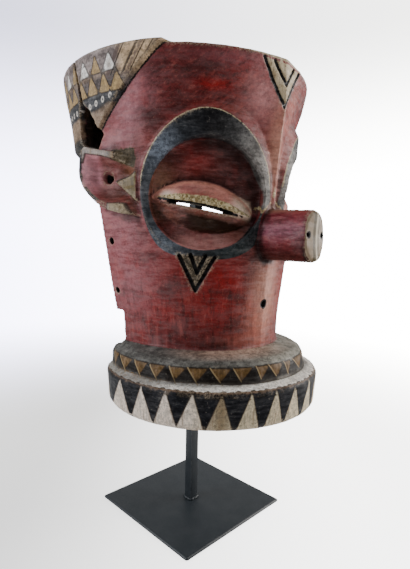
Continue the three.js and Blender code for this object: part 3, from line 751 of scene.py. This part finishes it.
# Dabs of darker and brighter paste over the face. The pale mauve dab at -67 degrees and the pale pink one
# just past the keel at 8 degrees are painted sheen from the side lamps; the dark stripe at -64.6 degrees is
# painted shade along the front edge of the ear, where it stands off the head.
PATCHES = [
    (RED_DARK, -38, 488, 16, 22, 0.7), (RED_DARK, -28, 468, 17, 12, 0.5),
    (RED_BRIGHT, -31, 476.5, 8, 5, 0.9), (RED_DARK, -30, 280, 14, 40, 0.15),
    (RED_BRIGHT, -20.5, 293, 7, 16, 0.85), (RED_BRIGHT, -27, 262, 9, 26, 0.75),
    (RED_BRIGHT, -33, 300, 12, 10, 0.4), (RED_DARK, -36, 238, 22, 18, 0.5), (RED_DARK, -8, 290, 6, 30, 0.45),
    (ORANGE, -57, 424, 7, 26, 0.35), (ORANGE, -22, 456, 12, 5, 0.3), (RED_DARK, 34, 480, 14, 24, 0.55),
    (RED_BRIGHT, 30, 470, 10, 7, 0.6), (RED_BRIGHT, 24, 268, 12, 22, 0.7), (RED_DARK, 42, 240, 20, 18, 0.5),
    ((200, 118, 100), 8, 470, 9, 40, 0.5), (ORANGE, 12, 260, 10, 40, 0.4), (RED_BRIGHT, 62, 300, 10, 14, 0.5),
    (RED_DARK, -64, 338, 5, 10, 0.5), ((196, 134, 132), -10, 472, 8, 24, 0.9), (MAUVE, -24, 500, 16, 8, 0.35),
    ((192, 132, 138), -67, 466, 9, 34, 0.85), (ORANGE, 2, 430, 5, 60, 0.5),
    ((56, 30, 28), -64.6, 388, 2.6, 30, 0.85), ((66, 36, 36), -57, 447, 7, 17, 0.75),
    ((196, 112, 94), -4, 242, 9, 28, 0.55), ((206, 150, 128), -1.5, 424, 3.5, 40, 0.8),
    ((176, 100, 86), -15, 227, 12, 8, 0.6), ((232, 176, 150), 2, 280, 9, 46, 0.5),
]
red_paint = dabbed(red_paint, degrees, z, PATCHES)

# Dabs over the floor of the dish. The dark one high on the side towards the nose is painted shade under the
# overhanging band.
DISH_PATCHES = [
    (RED_BRIGHT, -5, 24, 15, 8, 0.6), (RED_BRIGHT, -12, 36, 20, 4, 0.5),
    ((140, 100, 74), -43, 0, 12, 20, 0.75), ((66, 38, 36), 30, 22, 22, 14, 0.5),
    ((196, 142, 134), 6, -57, 42, 10, 1), ((84, 62, 46), -44, -26, 10, 12, 0.7),
    ((186, 104, 84), 38, -48, 12, 9, 0.7),
]
dish = dabbed(coated((98, 46, 42)), socket_u, socket_v, DISH_PATCHES)
# The lids. A painted highlight runs along the upper edge of the lid, and its right end, in the corner by the
# nose, is painted pale as painted light against the shade of that corner.
lid = coated(
    SALMON,
    ((150, 82, 72), ramp(eye_b, 22, 10) * ramp(eye_a, -30, 0) * 0.5),
    ((124, 78, 66), ramp(eye_b, -1, -4)),
    ((42, 25, 14), ramp(eye_b, -8.5, -12) * ramp(eye_a, -27, -12) * ramp(eye_a, 50, 42)),
    ((118, 84, 84), 0.6 * blob(eye_a, eye_b, -20, 13, 16, 4.5)),
    ((214, 200, 180), 0.8 * blob(eye_a, eye_b, -40, 4.5, 8, 3.5)),
    ((255, 232, 204), 0.9 * ramp(eye_a, 20, 38) * ramp(eye_b, -6, 0)),
    ((224, 150, 128), 0.8 * bell(eye_in, 2.2, 1.8) * ramp(eye_b, -4, 4)),
)
lid_shadow = bell(lid_in, -1.2, 1.3) * (0.75 * ramp(eye_b, -2, 3) + 0.5 * ramp(eye_a, -22, -34))
lid_shadow *= (lid_in < 1.5) * (1 - 0.6 * ramp(eye_a, 24, 38))
dish = coated(dish, (lid, ramp(lid_in, -0.5, 2)), ((24, 16, 14), lid_shadow))
# The nose: wine red, with a painted highlight in a mauve band along its middle and painted shade darkening
# its lower part.
nose = coated(
    WINE,
    ((76, 32, 30), ramp(z, 334, 318)),
    ((134, 70, 86), 0.8 * bell(z, 342, 7) * (np.abs(x) > 8)),
    ((150, 120, 96), 0.5 * ramp(z, 358, 364)),
    ((20, 12, 12), bell(y, -164.2, 1.4) * (0.3 + 0.7 * ramp(z, 336, 322))),
)
by_keel = ramp(np.abs(x), 3.5, 5.5) * ramp(np.abs(x), 12, 9) * ramp(z, 412, 396)
by_keel *= ramp(z, 304, 316) * (y < -90) * (nose_in < 0)
cup_in = outline_margin(EAR_CUP, ear_u, z)
tragus = outline_margin(TRAGUS, ear_u, z)
# The ear. The dark brown below the tragus is painted shade, and the near black deep in the cup towards the
# hole is painted shade in the recess.
ear = coated(
    EAR_RED,
    ((190, 62, 70), 0.8 * blob(ear_u, z, 38, 407, 12, 5)),
    ((150, 66, 64), 0.75 * ramp(z, 392, 374)),
    ((128, 84, 76), 0.9 * ramp(ear_u, 49, 41)),
    ((112, 68, 48), ramp(ear_u, 30, 16) * ramp(z, 386, 392)),
    ((96, 52, 42), ramp(ear_u, 36, 20) * ramp(z, 388, 382)),
    ((30, 18, 16), ramp(ear_w, -13, -16) * ramp(z, 366, 370)),
)
red_paint = coated(
    red_paint,
    (dish, ramp(dish_in, -5, -2) * at_front),
    (nose, ramp(nose_in, -1, 2)),
    ((66, 32, 26), 0.8 * by_keel * (dish_in < -3)),
    (ear, on_ear),
)

band = coated((52, 54, 58))
round_socket = np.degrees(np.arctan2(socket_v + 6, socket_u - 3))
# Round the socket the black paint of the band is painted lighter as painted sheen where the lamps catch it:
# blue-grey on its upper outer side and light grey on its side towards the nose.
BAND_PAINT_AND_SHEEN = [
    ((24, 23, 26), 88, 19, 0.9), ((118, 126, 138), 142, 16, 0.85), ((84, 86, 90), 178, 17, 0.8),
    ((146, 141, 135), 26, 33, 0.9), ((132, 128, 122), 2, 16, 0.6), ((96, 102, 110), -130, 20, 0.8),
    ((50, 58, 58), -66, 30, 0.7),
]
for colour, turn, spread, strength in BAND_PAINT_AND_SHEEN:
    away = (round_socket - turn + 180) % 360 - 180
    band = coated(band, (colour, strength * bell(away, 0, spread)))
tear_in = np.where(at_front, outline_margin(TEAR, socket_u, socket_v), -9)
keel_cut_in = np.where((y < 0) & (proud > -9), outline_margin(KEEL_CUT, x, z), -9)
cap_arc = side_degrees * CAP_RADIUS * math.pi / 180
band_rise = np.clip(RING_TILT * (cap_arc + 203), -2.5, 4.5)
band_z = z - band_rise
cap_ground = coated(
    (138, 116, 96),
    ((150, 138, 136), 0.8 * ramp(z, 486, 496)),
    ((84, 82, 88), 0.7 * ramp(z, 471, 474) * ramp(z, 489, 484)),
    ((156, 130, 106), 0.7 * ramp(z, 461, 456)),
    ((214, 182, 142), 0.85 * ramp(side_degrees, -71, -67) * ramp(z, 480, 492)),
    ((70, 70, 72), ramp(band_z, 458.6, 460) * ramp(z, 474, 472.5)),
    ((46, 46, 46), ramp(z, 440, 436) * ramp(side_degrees, -90, -96)),
)
neck_foot = ramp(z, 213, 219) * ramp(degrees, -60, -28) * ramp(degrees, 20, -10)
collar_ground = coated(
    (24, 25, 30),
    ((36, 32, 29), ramp(z, 192, 197) * ramp(z, 212, 208)),
    ((94, 93, 88), ramp(z, 208.2, 209.4)),
    ((150, 147, 134), 0.8 * ramp(z, 208.2, 209.4) * ramp(lower_degrees, -35, 0)),
    ((190, 152, 130), 0.6 * neck_foot),
    ((104, 98, 88), ramp(z, 190, 191) * ramp(z, 197, 194)),
    ((112, 90, 72), ramp(z, 188.8, 189.3) * ramp(z, 190.4, 189.8)),
)
dark_paint = coated(
    (38, 38, 42),
    (band, (z > 300) & (cap_in < -12)),
    ((52, 43, 29), ramp(tear_in, -2, 0)),
    ((78, 66, 46), on_ear & (ear_u < 32)),
    (cap_ground, ramp(cap_in, -8, -5) * (z > 428)),
    ((70, 58, 48), on_crown),
    (collar_ground, ramp(z, 300, 240)),
)

WHITE = (240, 225, 208)
CREAM = (228, 212, 180)
OCHRE = (112, 86, 52)
white_tip = np.abs((side_degrees + 73.5 + 7.4) % 14.8 - 7.4)
white_tip = np.minimum(np.abs(side_degrees + 88.6), white_tip)
ear_light_paint = coated(
    (196, 176, 146),
    ((204, 192, 186), ramp(ear_u, 30, 34)),
    ((104, 116, 132), 0.8 * blob(ear_u, z, 32, 415, 3, 6)),
    ((150, 96, 44), 0.8 * blob(ear_u, z, 24, 414, 4, 6)),
    ((112, 96, 56), ramp(tragus, -2, 0)),
)
light_paint = coated(
    CREAM,
    (WHITE, ramp(lower_degrees, -40, -60)),
    ((132, 112, 82), 0.85 * blob(lower_degrees, z, -41, 170, 5, 60)),
    ((252, 248, 238), ramp(z, 189.6, 190)),
    ((128, 124, 116), 0.75 * ramp(z, 189.6, 190) * ramp(lower_degrees, -60, -84)),
    (OCHRE, ramp(z, 193.5, 195)),
    ((190, 160, 112), ramp(z, 300, 400)),
    ((255, 250, 244), ramp(z, 488.3, 489.3) * ramp(white_tip, 4.4, 4)),
    (ear_light_paint, on_ear),
)

spill = 0.5 + 4.5 * bell(round_socket, -42, 34) + 3.5 * bell(round_socket, -128, 18)
inner_spill = 0.3 + 2.1 * ramp(socket_v, -10, 20) + 3.5 * bell(round_socket, -38, 26)
inner_spill += 1.5 * bell(round_socket, -80, 18) + 2.5 * bell(round_socket, 20, 16)
dark_edge = np.minimum.reduce([rim_in + spill, inner_spill - dish_in, on_front])
dark_edge = np.where(nose_in > 0, -np.maximum(nose_in, 1), dark_edge)
cap_edge = np.where(proud > -3, cap_in + 1.5, -9)
dark_edge = np.maximum.reduce([dark_edge, tear_in + 1.4, collar_in, cap_edge])
dark_edge = np.where(on_crown, 9, dark_edge)
front_of_ear = np.where(on_ear, ear_w + 3, -9)
wedge = outline_margin(EAR_WEDGE, ear_u, z)
low_side = np.minimum.reduce([384 - z, ear_u - 33, z - 370])
outer_rim = np.minimum.reduce([-cup_in, np.maximum(ear_u - 61, low_side), front_of_ear])
dark_edge = np.where(on_ear, np.maximum(wedge, outer_rim), dark_edge)
white_rim = np.minimum.reduce([-cup_in + 0.5, z - 408, ear_u - 26, 62 - ear_u, front_of_ear])
low_rim = np.minimum.reduce([-cup_in + 0.5, 370 - z, 33 - ear_u, front_of_ear])
ear_light = np.where(on_ear, np.maximum.reduce([white_rim, low_rim, tragus]), -9)

large = teeth_margin(LARGE_TEETH, LARGE_FOOT, LARGE_TIP, lower_degrees, LOWER_TIER["radius"], z)
small = teeth_margin(SMALL_TEETH, SMALL_TOP, SMALL_TIP, upper_degrees, UPPER_TIER["radius"], z)
left_edge = np.full(len(places), 9.0)
scale = UPPER_TIER["radius"] * math.pi / 180
for number, (left, tip, _) in enumerate(sorted(SMALL_TEETH)):
    run, rise = (tip - left) * scale, SMALL_TOP - SMALL_TIP
    across = ((upper_degrees - left) * scale * rise + (z - SMALL_TOP) * run) / math.hypot(run, rise)
    nearer = np.abs(across) < np.abs(left_edge)
    left_edge = np.where(nearer, across if number % 2 else -across, left_edge)
left_edge = np.where((z > 193) & (z < 212), left_edge, 9)
scallop = np.abs(np.sin(np.radians(lower_degrees) * LOWER_TIER["radius"] / 7.4 * math.pi))
rim_foot = 190 + 0.8 * scallop + 0.3 * np.sin(lower_degrees * 0.9)
lower_reach = np.hypot(x, y - LOWER_TIER["centre"])
worn_rim = 3 * np.minimum(z - rim_foot, lower_reach - 109)
light_edge = np.where(z < LOWER_TOP, large + 1.2, np.where(z < UPPER_FOOT, worn_rim, -9))
light_edge = np.where((z >= UPPER_FOOT) & (z < COLLAR_TOP), small + 0.6, light_edge)
light_edge = np.where((lower_reach < 108) & (z < UPPER_FOOT), -9, light_edge)
high = teeth_margin(HIGH_TEETH, 490, 507, side_degrees, CAP_RADIUS, z)
low = teeth_margin(LOW_TEETH, 473, 488.4, side_degrees, CAP_RADIUS, z)
cap_teeth = np.minimum(np.maximum(high, low + 0.9), cap_in)
cap_teeth = np.where((z > 440) & (proud > 0.5), cap_teeth, -9)
light_edge = np.maximum.reduce([light_edge, cap_teeth, ear_light])

# Grooves, holes, the slit walls and the foot of the cap's edge are painted near black as painted shade inside
# them.
cuts = []
for foot in (0, 1):
    for corners in (TEAR, TEAR_CORE):
        groove = line_margin(corners[foot], corners[2], CUT_HALF, socket_u, socket_v)
        cuts.append((at_front, groove))
    for corners in (KEEL_CUT, KEEL_CORE):
        groove = line_margin(corners[foot], corners[2], CUT_HALF, x, z)
        cuts.append(((y < 0) & (proud > -12), groove))
for turn, height, radius in HOLES:
    reach = np.radians(degrees - turn) * skin_reach(np.radians(turn) + 0 * z, z)
    cuts.append((proud > -20, radius + 0.3 - np.hypot(reach, z - height)))
slit_depth = lid_face(np.clip(eye_a, -50, 50)) - socket_w
slit_ends = line_margin((-47, -0.8), (39, -2.2), 1.2, eye_a, eye_b)
slit_wall = np.minimum(slit_depth - 0.6, 3.4 - np.abs(eye_b - SLIT_OFFSET))
slit_wall = np.where(np.abs(eye_a + 4) < 42, slit_wall, -9)
nostril = NOSTRIL_HALF - np.hypot(np.abs(x) - NOSTRIL_OUT, z - NOSTRIL_HEIGHT)
ear_hole = 5.2 - np.hypot(ear_u - 40.5, (z - 393.8) / 1.15)
undercut = 0.7 - np.abs(cap_in + 1.5)
cuts += [
    (at_front & (slit_depth < 9), np.maximum(slit_ends, slit_wall)),
    (y < -160, nostril),
    (on_ear & (ear_w < -14.5), ear_hole),
    ((proud > -2) & (proud < 4.6) & (z > 434) & (z < 509), undercut),
]
# Millimetres inside the nearest of these painted shade regions.
cut_shade_edge = np.full(len(places), -9.0)
for there, cut_in in cuts:
    cut_shade_edge = np.maximum(cut_shade_edge, np.where(there & ~(in_cavity & (proud < -9)), cut_in, -9))

nose_end = ramp(y, -165.6, -166.7)
strip_rise = 9.5 * (1 - np.clip(np.abs(eye_a + 1) / 50, 0, 1) ** 2) ** 0.8
slit_above = ramp(eye_b, -0.8, 0.4) * ramp(strip_rise - eye_b, -0.3, 1.6) * (eye_in > 0)
slit_below = np.where(eye_in > 0, bell(eye_b, -4.6, 0.9), 0) * ramp(np.abs(eye_a - 2), 46, 30)
keel_half = 1.8 + 2.2 * ramp(z, 412, 388)
keel_wear = bell(x, 0, keel_half) * (y < -90) * (proud > -3) * ramp(z, 372, 380)
keel_wear *= 0.25 + 0.75 * ramp(z, 400, 372)
root_specks = ramp(line_margin((-19, 361), (-4, 372.5), 2.2, side, z), -1, 1.5) * (y < -95) * (y > -124)
rim_arris = bell(rim_in, 0, 0.9) * at_front * ramp(socket_v, -20, 10)
bare_and_highlight = np.maximum.reduce([
    0.85 * slit_above * at_front, 0.6 * slit_below * at_front, 0.8 * keel_wear,
    0.7 * rim_arris, nose_end, 0.6 * root_specks, 0.95 * ramp(keel_cut_in, -0.5, 0.8),
    0.8 * ramp(z, 507.6, 509.5) * ramp(cap_in, 1, -2) * (proud > -2.5),
])

# Distance from the nearest of the slanted strokes on the cap, changing sign at each stroke
slant = cap_arc - SLANT_LEAN * (z - 510)
stops, heights = [SLANT_LINES[0] - 9], [9]
for number, line in enumerate(SLANT_LINES):
    stops += [line, line + 4]
    heights += [0, 4 if number % 2 else -4]
slant_reach = (cap_in > 0.5) & (proud > 1) & (z > 484)
slant_across = np.where(slant_reach, np.interp(slant, stops, heights), 9)

layers = dict(
    slant_across=slant_across,
    left_edge=left_edge,
    speckled=np.maximum.reduce([slit_above, keel_wear, root_specks]),
    nose_end=nose_end,
    band_rise=band_rise,
    dark_edge=dark_edge,
    light_edge=light_edge,
    cut_shade_edge=cut_shade_edge,
    bare_wood=bare_and_highlight,
    cavity=in_cavity,
    grime_and_shade=hollow,
    arris=arris,
)
for name, values in layers.items():
    mark(mask, name, np.clip(values, -9, 9))
on_cap = (z > 440) & (proud > -3) & (side_degrees < -60)
mark(mask, "cap_arc", np.where(on_cap, cap_arc, 0))
for name, colours in (("red_paint", red_paint), ("dark_paint", dark_paint), ("light_paint", light_paint)):
    layer = mask.data.color_attributes.new(name, "FLOAT_COLOR", "POINT")
    opaque = np.column_stack([colours, np.ones(len(colours))])
    layer.data.foreach_set("color", opaque.astype(np.float32).ravel())


def between(share, under, over):
    return add_node(share.id_data, "Mix", {0: share, 2: under, 3: over}).outputs[0]


def layered(colour, *coats):
    """A colour with coats over it, each with the share that it covers."""
    for share, coat in coats:
        colour = blend_colours(share, colour, coat)
    return colour


def flecked(colour, *marks):
    """A colour with marks over it, each where a noise runs from low to high, up to its most."""
    for source, low, high, most, mark in marks:
        colour = blend_colours(remap(source, low, high, 0, most), colour, mark)
    return colour


RING_PITCH, RING_START, RING_HEIGHT = 10.56, 0.21, 465.6
wood, tree, shader = new_material("painted_wood")
broad = noise(tree, 22, 5, 0.6)
blotch = noise(tree, 75, 6, 0.65)
speck = noise(tree, 620, 4, 0.75)
fleck = noise(tree, 300, 6, 0.7)
grain = noise(tree, 260, 5, 0.65, (1, 1, 0.12))
strokes = noise(tree, 210, 5, 0.7, (0.22, 0.22, 1))
ragged = times(minus(speck, 0.5), 2.2)

spot = axes_of(on_piece(tree))
kept = {name: attribute(tree, name) for name in (*layers, "cap_arc")}
red = attribute(tree, "red_paint", "Color")
slants = noise(tree, 190, 6, 0.72, (1, 1, 0.2))
swathes = noise(tree, 48, 6, 0.66, (0.5, 0.5, 1))
lightness = add_node(tree, "RGBToBW", {0: red}).outputs[0]
calm = remap(lightness, 0.08, 0.2, 1, 0.3)
lightness = remap(lightness, 0.012, 0.05)
sweeps = noise(tree, 230, 5, 0.7, (0.25, 0.6, 1), -38)
upper = remap(spot["Z"], 0.41, 0.47)
lower = remap(spot["Z"], 0.33, 0.27)
brush = between(lower, between(upper, strokes, sweeps), slants)
red = layered(
    red,
    (times(remap(swathes, 0.46, 0.66, 0, 0.6), calm), (58, 30, 30)),
    (times(remap(broad, 0.5, 0.66, 0, 0.4), lightness), (140, 36, 32)),
    (times(remap(brush, 0.53, 0.68, 0, 0.34), lightness), (168, 88, 78)),
    (times(remap(brush, 0.47, 0.33, 0, 0.46), calm), (44, 20, 20)),
)
flurry = plus(times(fleck, 0.5), times(brush, 0.5))
red = blend_colours(1.0, red, remap(flurry, 0.4, 0.6, 0.82, 1.2), "MULTIPLY")
red = layered(
    red,
    (times(remap(speck, 0.58, 0.7, 0, 0.4), lightness), (180, 128, 104)),
    (remap(speck, 0.43, 0.3, 0, 0.4), (36, 20, 18)),
)
dark = flecked(
    attribute(tree, "dark_paint", "Color"),
    (blotch, 0.42, 0.66, 0.4, (30, 28, 28)),
    (strokes, 0.56, 0.74, 0.25, (150, 146, 138)),
    (fleck, 0.6, 0.7, 0.22, (164, 156, 142)),
    (speck, 0.43, 0.3, 0.8, (22, 20, 18)),
)
grit = remap(plus(times(fleck, 0.6), times(strokes, 0.4)), 0.4, 0.6, 0.5, 1.5)
dark = blend_colours(1.0, dark, grit, "MULTIPLY")
light = flecked(
    attribute(tree, "light_paint", "Color"),
    (grain, 0.48, 0.64, 0.7, (112, 92, 72)),
    (blotch, 0.5, 0.75, 0.35, (132, 108, 80)),
    (speck, 0.45, 0.32, 0.7, (70, 58, 46)),
)
worn = plus(times(fleck, 0.5), times(grain, 0.5))
light = blend_colours(1.0, light, remap(worn, 0.4, 0.6, 0.55, 1.25), "MULTIPLY")


def edge_mask(name, softness):
    """Paint ends raggedly where its distance from its own edge passes zero."""
    return remap(plus(kept[name], ragged), -softness, softness)


dark_mask = edge_mask("dark_edge", 0.5)
sheen = times(remap(strokes, 0.42, 0.6, 0.12, 0.5), remap(dark_mask, 0, 1, 1, 0.45))
sheen = times(sheen, remap(lightness, 0, 1, 0.35, 1))
light_mask = edge_mask("light_edge", 0.4)
tooth_line = remap(unsigned(kept["light_edge"]), 1.1, 0.3, 0, 0.75)
on_rim = unsigned(minus(spot["Z"], 0.1922))
tooth_line = times(tooth_line, remap(on_rim, 0.0022, 0.0034))
pale_line = remap(unsigned(kept["left_edge"]), 0.9, 0.4, 0, 0.7)
pale_line = times(pale_line, remap(kept["light_edge"], -0.9, -0.2))
# Grime and painted shade in the hollows, darkening the paint.
soot_and_shade = times(kept["grime_and_shade"], remap(blotch, 0.3, 0.6, 0.35, 0.85))
slant = kept["slant_across"]
slant_side = times(times(remap(slant, 0.5, 3), 0.75), remap(slant, 8, 6))
slant_side = times(slant_side, remap(light_mask, 0, 1, 1, 0))
slant_line = remap(unsigned(slant), 1.3, 0.5, 0, 0.85)
rubbed = place_wear_and_highlight(tree, kept["arris"], 620, 0.42, 0.56, 0.6)
ring_turn = plus(times(kept["cap_arc"], 1 / RING_PITCH), RING_START)
ring_across = times(minus(figure("FRACT", ring_turn), 0.5), RING_PITCH * 1.25)
ring_up = minus(minus(times(spot["Z"], 1000), RING_HEIGHT), kept["band_rise"])
ring_reach = figure("SQRT", plus(figure("POWER", ring_across, 2), figure("POWER", ring_up, 2)))
ring_line = plus(unsigned(minus(ring_reach, 2)), times(ragged, 0.5))
on_cap = remap(kept["cap_arc"], -140, -150)
ring_mask = times(remap(ring_line, 1.05, 0.65), on_cap)
ring_mask = times(ring_mask, remap(kept["dark_edge"], 4.5, 6.5))
timber = flecked(
    (206, 188, 154),
    (grain, 0.35, 0.65, 1, (160, 138, 106)),
    (fleck, 0.52, 0.64, 0.6, (214, 206, 180)),
    (speck, 0.46, 0.34, 0.8, (66, 56, 40)),
)
speckled = flecked(
    (138, 116, 74), (fleck, 0.44, 0.56, 1, (214, 196, 152)), (speck, 0.47, 0.38, 0.9, (40, 38, 28))
)
timber = blend_colours(kept["speckled"], timber, speckled)
bare_mask = remap(plus(kept["bare_wood"], times(ragged, 0.32)), 0.38, 0.62)
timber = blend_colours(times(kept["nose_end"], 0.75), timber, (134, 114, 94))
# A ridge down the end of the nose is painted, not carved: painted shade lines on either side of a painted
# highlight.
NOSE_RIDGE_LIGHT_AND_SHADE = [
    (-0.0028, 0.0027, (84, 74, 50)), (0.0009, 0.0018, (196, 184, 156)), (0.0046, 0.0018, (96, 84, 58)),
]
for streak, half, colour in NOSE_RIDGE_LIGHT_AND_SHADE:
    across = unsigned(minus(spot["X"], streak))
    line = times(remap(across, half, half * 0.5, 0, 0.9), kept["nose_end"])
    timber = blend_colours(line, timber, colour)
# Inside the helmet: dark old wood, darkened further as painted shade.
inside_wood_and_shade = flecked((58, 44, 34), (grain, 0.35, 0.65, 1, (34, 26, 20)))
paint = layered(
    red,
    (dark_mask, dark),
    (light_mask, light),
    (tooth_line, (40, 32, 28)),
    (pale_line, (176, 152, 112)),
    (soot_and_shade, (26, 20, 18)),
    (slant_side, (90, 74, 70)),
    (slant_line, (34, 28, 26)),
    (rubbed, (176, 158, 134)),
    (ring_mask, (214, 206, 196)),
    (bare_mask, timber),
    (kept["cavity"], inside_wood_and_shade),
    (edge_mask("cut_shade_edge", 0.35), (16, 13, 12)),
)
gloss = remap(plus(times(blotch, 0.5), times(strokes, 0.5)), 0.36, 0.64, 0.34, 0.62)
height = plus(times(strokes, 0.6), times(grain, 0.4))
bump = add_node(tree, "Bump", {"Strength": 0.6, "Distance": 0.0007, "Height": height})
fill(shader, {"Base Color": paint, "Roughness": gloss, "Normal": bump.outputs["Normal"]})
join(sheen, shader.inputs["Specular IOR Level"])

mask.data.materials.append(wood)
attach(mask, "root")
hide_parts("mask")


# Studio: a floor of white paper that runs out into an even pale surround. A tall soft lamp
# stands on either side of the face, and a weaker one hangs overhead.
FLOOR_SIDE = 12
FLOOR_GLOW = (0.9, 4.6)
FLOOR_FADE = (0.35, 1.6)


def mixed_shader(share, under, over):
    return add_node(share.id_data, "MixShader", {0: share, 1: under, 2: over}).outputs[0]


select_nothing()
bpy.ops.mesh.primitive_plane_add(size=FLOOR_SIDE)
floor = bpy.context.active_object
floor.name = "floor"
paper, tree, shader = new_material("white_paper")
fill(shader, {"Base Color": (0.86, 0.86, 0.85, 1), "Roughness": 0.95, "Specular IOR Level": 0.1})
glow = add_node(tree, "Emission", {"Color": (1, 0.995, 0.985, 1)})
spot = axes_of(on_piece(tree))
join(remap(minus(spot["X"], spot["Y"]), -0.35, 0.35, *FLOOR_GLOW), glow.inputs["Strength"])
no_glow = add_node(tree, "Emission", {"Strength": 0})
rays = add_node(tree, "LightPath")
for_camera = mixed_shader(rays.outputs["Is Camera Ray"], no_glow.outputs[0], glow.outputs[0])
lit_paper = add_node(tree, "AddShader", {0: shader.outputs[0], 1: for_camera})
away = add_node(tree, "VectorMath", {0: on_piece(tree)})
away.operation = "LENGTH"
nothing = add_node(tree, "BsdfTransparent")
faded = mixed_shader(remap(away.outputs["Value"], *FLOOR_FADE), lit_paper.outputs[0], nothing.outputs[0])
output = next(node for node in tree.nodes if node.type == "OUTPUT_MATERIAL")
join(faded, output.inputs["Surface"])
floor.data.materials.append(paper)
floor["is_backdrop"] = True

world = bpy.data.worlds.new("studio")
bpy.context.scene.world = world
world.use_nodes = True
tree = world.node_tree
direction = axes_of(on_piece(tree, "Generated"))
across = minus(direction["X"], direction["Y"])
towards = plus(direction["X"], direction["Y"])
seen = blend_colours(remap(across, -0.9, 0.9), (6.9, 6.95, 9.8, 1), (22, 22, 21, 1))
sides = remap(unsigned(across), 0.35, 1.3)
lit = blend_colours(sides, (0.07, 0.07, 0.075, 1), (0.75, 0.76, 0.78, 1))
lit = blend_colours(remap(towards, -0.2, 0.6), lit, (0.5, 0.5, 0.5, 1))
shade = remap(direction["Z"], 0.05, 0.45, 1, 0.22)
seen = blend_colours(1.0, seen, shade, "MULTIPLY")
rays = add_node(tree, "LightPath")
light = blend_colours(rays.outputs["Is Camera Ray"], lit, seen)
fill(tree.nodes["Background"], {"Strength": 1, "Color": light})


def softbox(name, place, aim, size, power, colour):
    select_nothing()
    bpy.ops.object.light_add(type="AREA", location=place)
    lamp = bpy.context.active_object
    lamp.name = name
    lamp.rotation_euler = (Vector(aim) - Vector(place)).to_track_quat("-Z", "Y").to_euler()
    lamp.data.shape = "RECTANGLE"
    lamp.data.size, lamp.data.size_y = size
    lamp.data.energy = power
    lamp.data.color = colour


softbox("right_window", (1.1, -0.75, 0.7), (0, -0.05, 0.35), (0.8, 1.3), 22, (1, 0.96, 0.93))
softbox("left_window", (-1.15, 0.55, 0.75), (0, 0, 0.35), (0.8, 1.3), 13, (0.93, 0.95, 1))
softbox("overhead", (-0.2, -0.25, 1.6), (0, 0, 0.3), (1.0, 1.0), 3, (1, 1, 1))

# Camera: a phone held close before the mask's own right side, level with its nose and tipped a
# little down. Its place, turn and lens were solved from the corners of the plate in the photo.
CAMERA_PLACE = (-0.3627, -0.3855, 0.3202)
CAMERA_YAW = -44.66
CAMERA_PITCH = 4.39
CAMERA_ROLL = 1.08
CAMERA_LENS = 26.96
camera_data = bpy.data.cameras.new("camera")
camera = bpy.data.objects.new("camera", camera_data)
bpy.context.scene.collection.objects.link(camera)
camera_data.sensor_width = 36
camera_data.lens = CAMERA_LENS
camera_data.clip_start = 0.01
camera.location = CAMERA_PLACE
look = Euler((math.radians(90 - CAMERA_PITCH), 0, math.radians(CAMERA_YAW)), "XYZ").to_matrix()
roll = Euler((0, 0, math.radians(CAMERA_ROLL)), "XYZ").to_matrix()
camera.rotation_euler = (look @ roll).to_euler()
bpy.context.scene.camera = camera

low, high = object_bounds()
